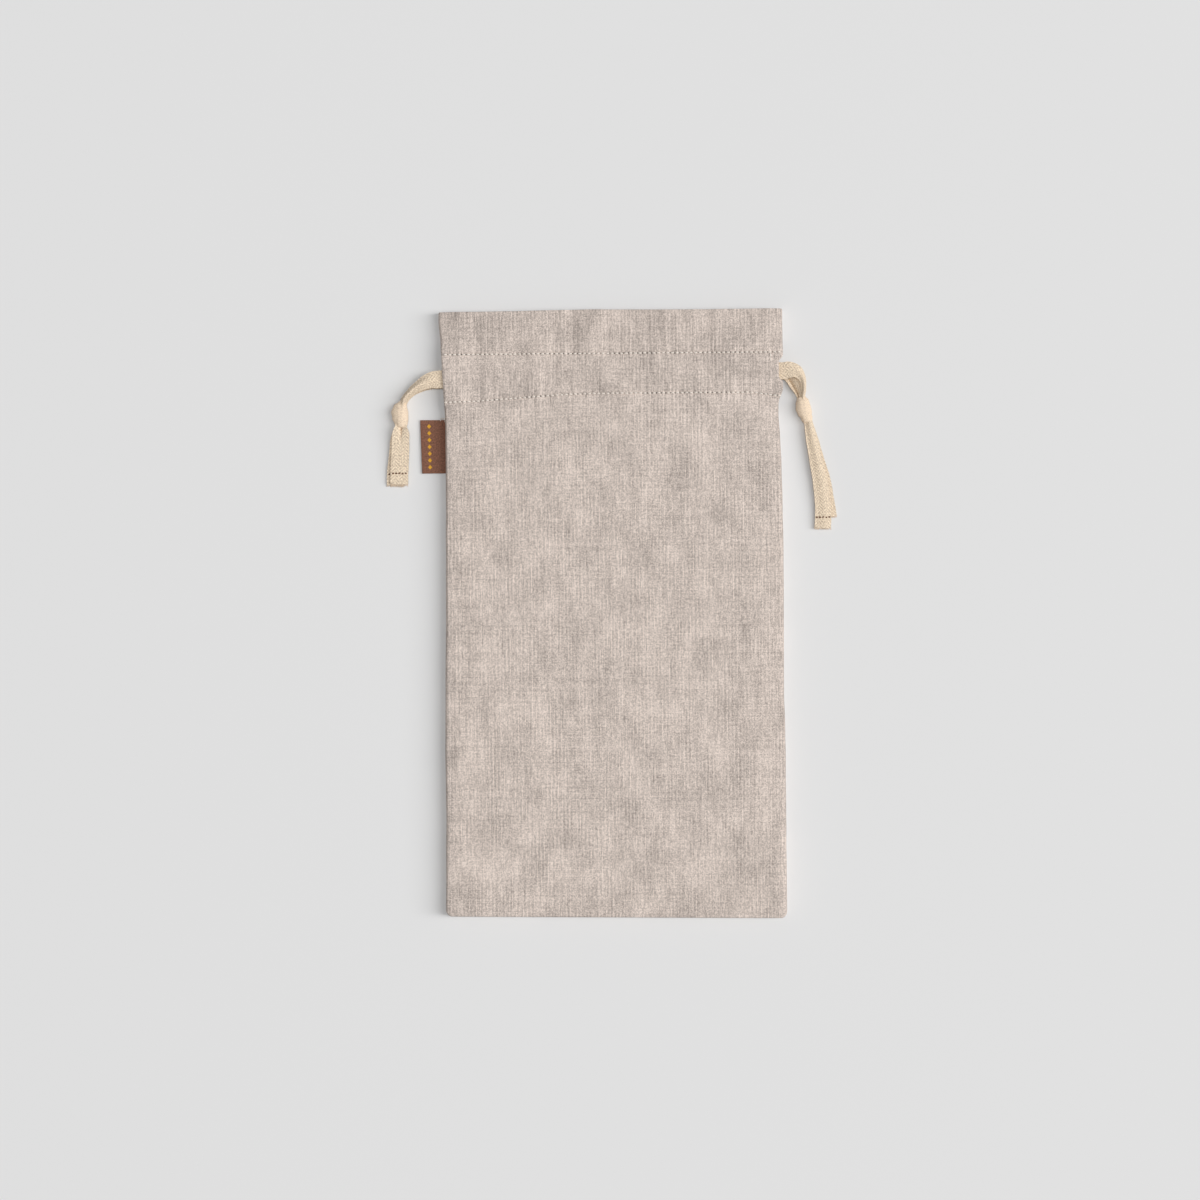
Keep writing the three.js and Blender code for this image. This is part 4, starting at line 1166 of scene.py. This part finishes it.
class BREAD_BAG_OT_side_label(bpy.types.Operator):
    """Fold the woven label and catch it in the left side seam"""

    bl_idname = "bread_bag.side_label"
    bl_label = "Side label"

    def execute(self, context):
        low, high = node_box("side_label")
        ribbon = 0.5
        radius = (high.z - low.z - ribbon) / 2
        middle_z = (high.z + low.z) / 2
        tip = low.x + (high.z - low.z) / 2
        root = high.x + 3.9
        profile = [(root, SEAM_Z + 0.15)] + [(x, middle_z + radius) for x in spread(high.x + 1.2, tip, 1.0)]
        profile += [
            (tip - radius * math.sin(angle), middle_z + radius * math.cos(angle))
            for angle in spread(0, math.pi, math.pi / 6)[1:-1]]
        profile += [(x, middle_z - radius) for x in spread(tip, high.x + 1.2, 1.0)] + [(root, SEAM_Z - 0.15)]
        points = []
        places = []
        stations = spread(low.y, high.y, 1.3)
        for y in stations:
            share = (y - low.y) / (high.y - low.y)
            gone = 0.0
            for i, (x, z) in enumerate(profile):
                if i:
                    gone += math.hypot(x - profile[i - 1][0], z - profile[i - 1][1])
                outer = max(0.0, (high.x - x) / (high.x - low.x))
                flare = 1.2 * (share - 0.5) * outer
                wavy = 0.18 * math.sin(3.1 * share + 0.4) * outer
                points.append((x - flare, y, z + wavy))
                places.append((gone, y - (low.y + high.y) / 2))
        faces = grid_faces(len(stations), len(profile), flip=True)
        piece = mesh_piece("side_label_ribbon", points, faces, places, CLOTH_MAP, "label")
        thicken(piece, 0.45 * MM, 50)
        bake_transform(piece)
        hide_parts("side_label")
        # A loop of seam thread catches the label's upper corner.
        loop = []
        for angle in spread(math.radians(170), math.radians(-20), 0.42):
            across, along = math.cos(angle), math.sin(angle)
            spot = Vector((high.x + 0.3 + 1.7 * across, high.y - 0.5 + 1.7 * along, high.z + 0.3))
            loop.append((spot, Vector((along, -across, 0)), Vector((0, 0, 1)), 1.1))
        piece = stitches_piece("side_label_thread", loop, 0.6, "thread")
        hand_over(piece, "linen_thread", "left_side")
        return {"FINISHED"}


class BREAD_BAG_OT_stage(bpy.types.Operator):
    """Set the pale table, soft light from the right and the camera straight above"""

    bl_idname = "bread_bag.stage"
    bl_label = "Stage"

    def execute(self, context):
        scene = context.scene
        bpy.ops.object.select_all(action="DESELECT")
        bpy.ops.mesh.primitive_plane_add(size=6)
        table = context.active_object
        table.name = "table"
        table.data.materials.append(material_of("table"))
        # A tall softbox at the right, far enough off to light the whole table evenly
        away = 30
        rise = math.radians(46)
        towards = Vector((math.cos(rise), 0, math.sin(rise)))
        bpy.ops.object.light_add(
            type="AREA", location=towards * away, rotation=towards.to_track_quat("Z", "Y").to_euler())
        key = context.active_object
        key.name = "softbox_at_right"
        key.data.shape = "RECTANGLE"
        key.data.size = 10
        key.data.size_y = 30
        key.data.energy = 7130
        bpy.ops.object.light_add(type="SUN", rotation=(0, 0, 0))
        top = context.active_object
        top.name = "soft_top"
        top.data.angle = math.radians(12)
        top.data.energy = 0.31 * math.pi
        world = bpy.data.worlds.new("Even studio")
        world.use_nodes = True
        sky = world.node_tree.nodes["Background"]
        sky.inputs["Color"].default_value = (1, 1, 1, 1)
        sky.inputs["Strength"].default_value = 0.2
        scene.world = world
        # The frame is 882 mm wide at the bag's mean height, and turned by the bag's slight skew.
        wide = 0.882
        level = 6 * MM
        distance = 2.4
        bpy.ops.object.camera_add(
            location=(-10.4 * MM, 9.6 * MM, level + distance), rotation=(0, 0, -0.00838))
        camera = context.active_object
        camera.name = "camera_above"
        camera.data.sensor_fit = "HORIZONTAL"
        camera.data.angle = 2 * math.atan(wide / 2 / distance)
        scene.camera = camera
        scene.view_settings.view_transform = "Standard"
        return {"FINISHED"}


class BREAD_BAG_PT_sidebar(bpy.types.Panel):
    """Lists the steps of making the bag, and its sizes and colours"""

    bl_idname = "BREAD_BAG_PT_sidebar"
    bl_label = "Bread bag"
    bl_space_type = "VIEW_3D"
    bl_region_type = "UI"
    bl_category = "Bread Bag"

    def draw(self, context):
        for step in STEPS:
            self.layout.operator(step.bl_idname)
        for group in (context.scene.bread_bag_sizes, context.scene.bread_bag_colours):
            box = self.layout.box()
            for name in group.__annotations__:
                box.prop(group, name)


STEPS = (
    BREAD_BAG_OT_stage,
    BREAD_BAG_OT_drawstrings,
    BREAD_BAG_OT_panels,
    BREAD_BAG_OT_stitch_rows,
    BREAD_BAG_OT_seams,
    BREAD_BAG_OT_side_label,
)
CLASSES = (BreadBagSizes, BreadBagColours, *STEPS, BREAD_BAG_PT_sidebar)


def register():
    for part in CLASSES:
        bpy.utils.register_class(part)
    bpy.types.Scene.bread_bag_sizes = PointerProperty(type=BreadBagSizes)
    bpy.types.Scene.bread_bag_colours = PointerProperty(type=BreadBagColours)


def unregister():
    del bpy.types.Scene.bread_bag_colours
    del bpy.types.Scene.bread_bag_sizes
    for part in reversed(CLASSES):
        bpy.utils.unregister_class(part)


def main():
    register()
    bpy.ops.bread_bag.stage()
    bpy.ops.bread_bag.drawstrings()
    bpy.ops.bread_bag.panels()
    bpy.ops.bread_bag.stitch_rows()
    bpy.ops.bread_bag.seams()
    bpy.ops.bread_bag.side_label()


if __name__ == "__main__":
    main()
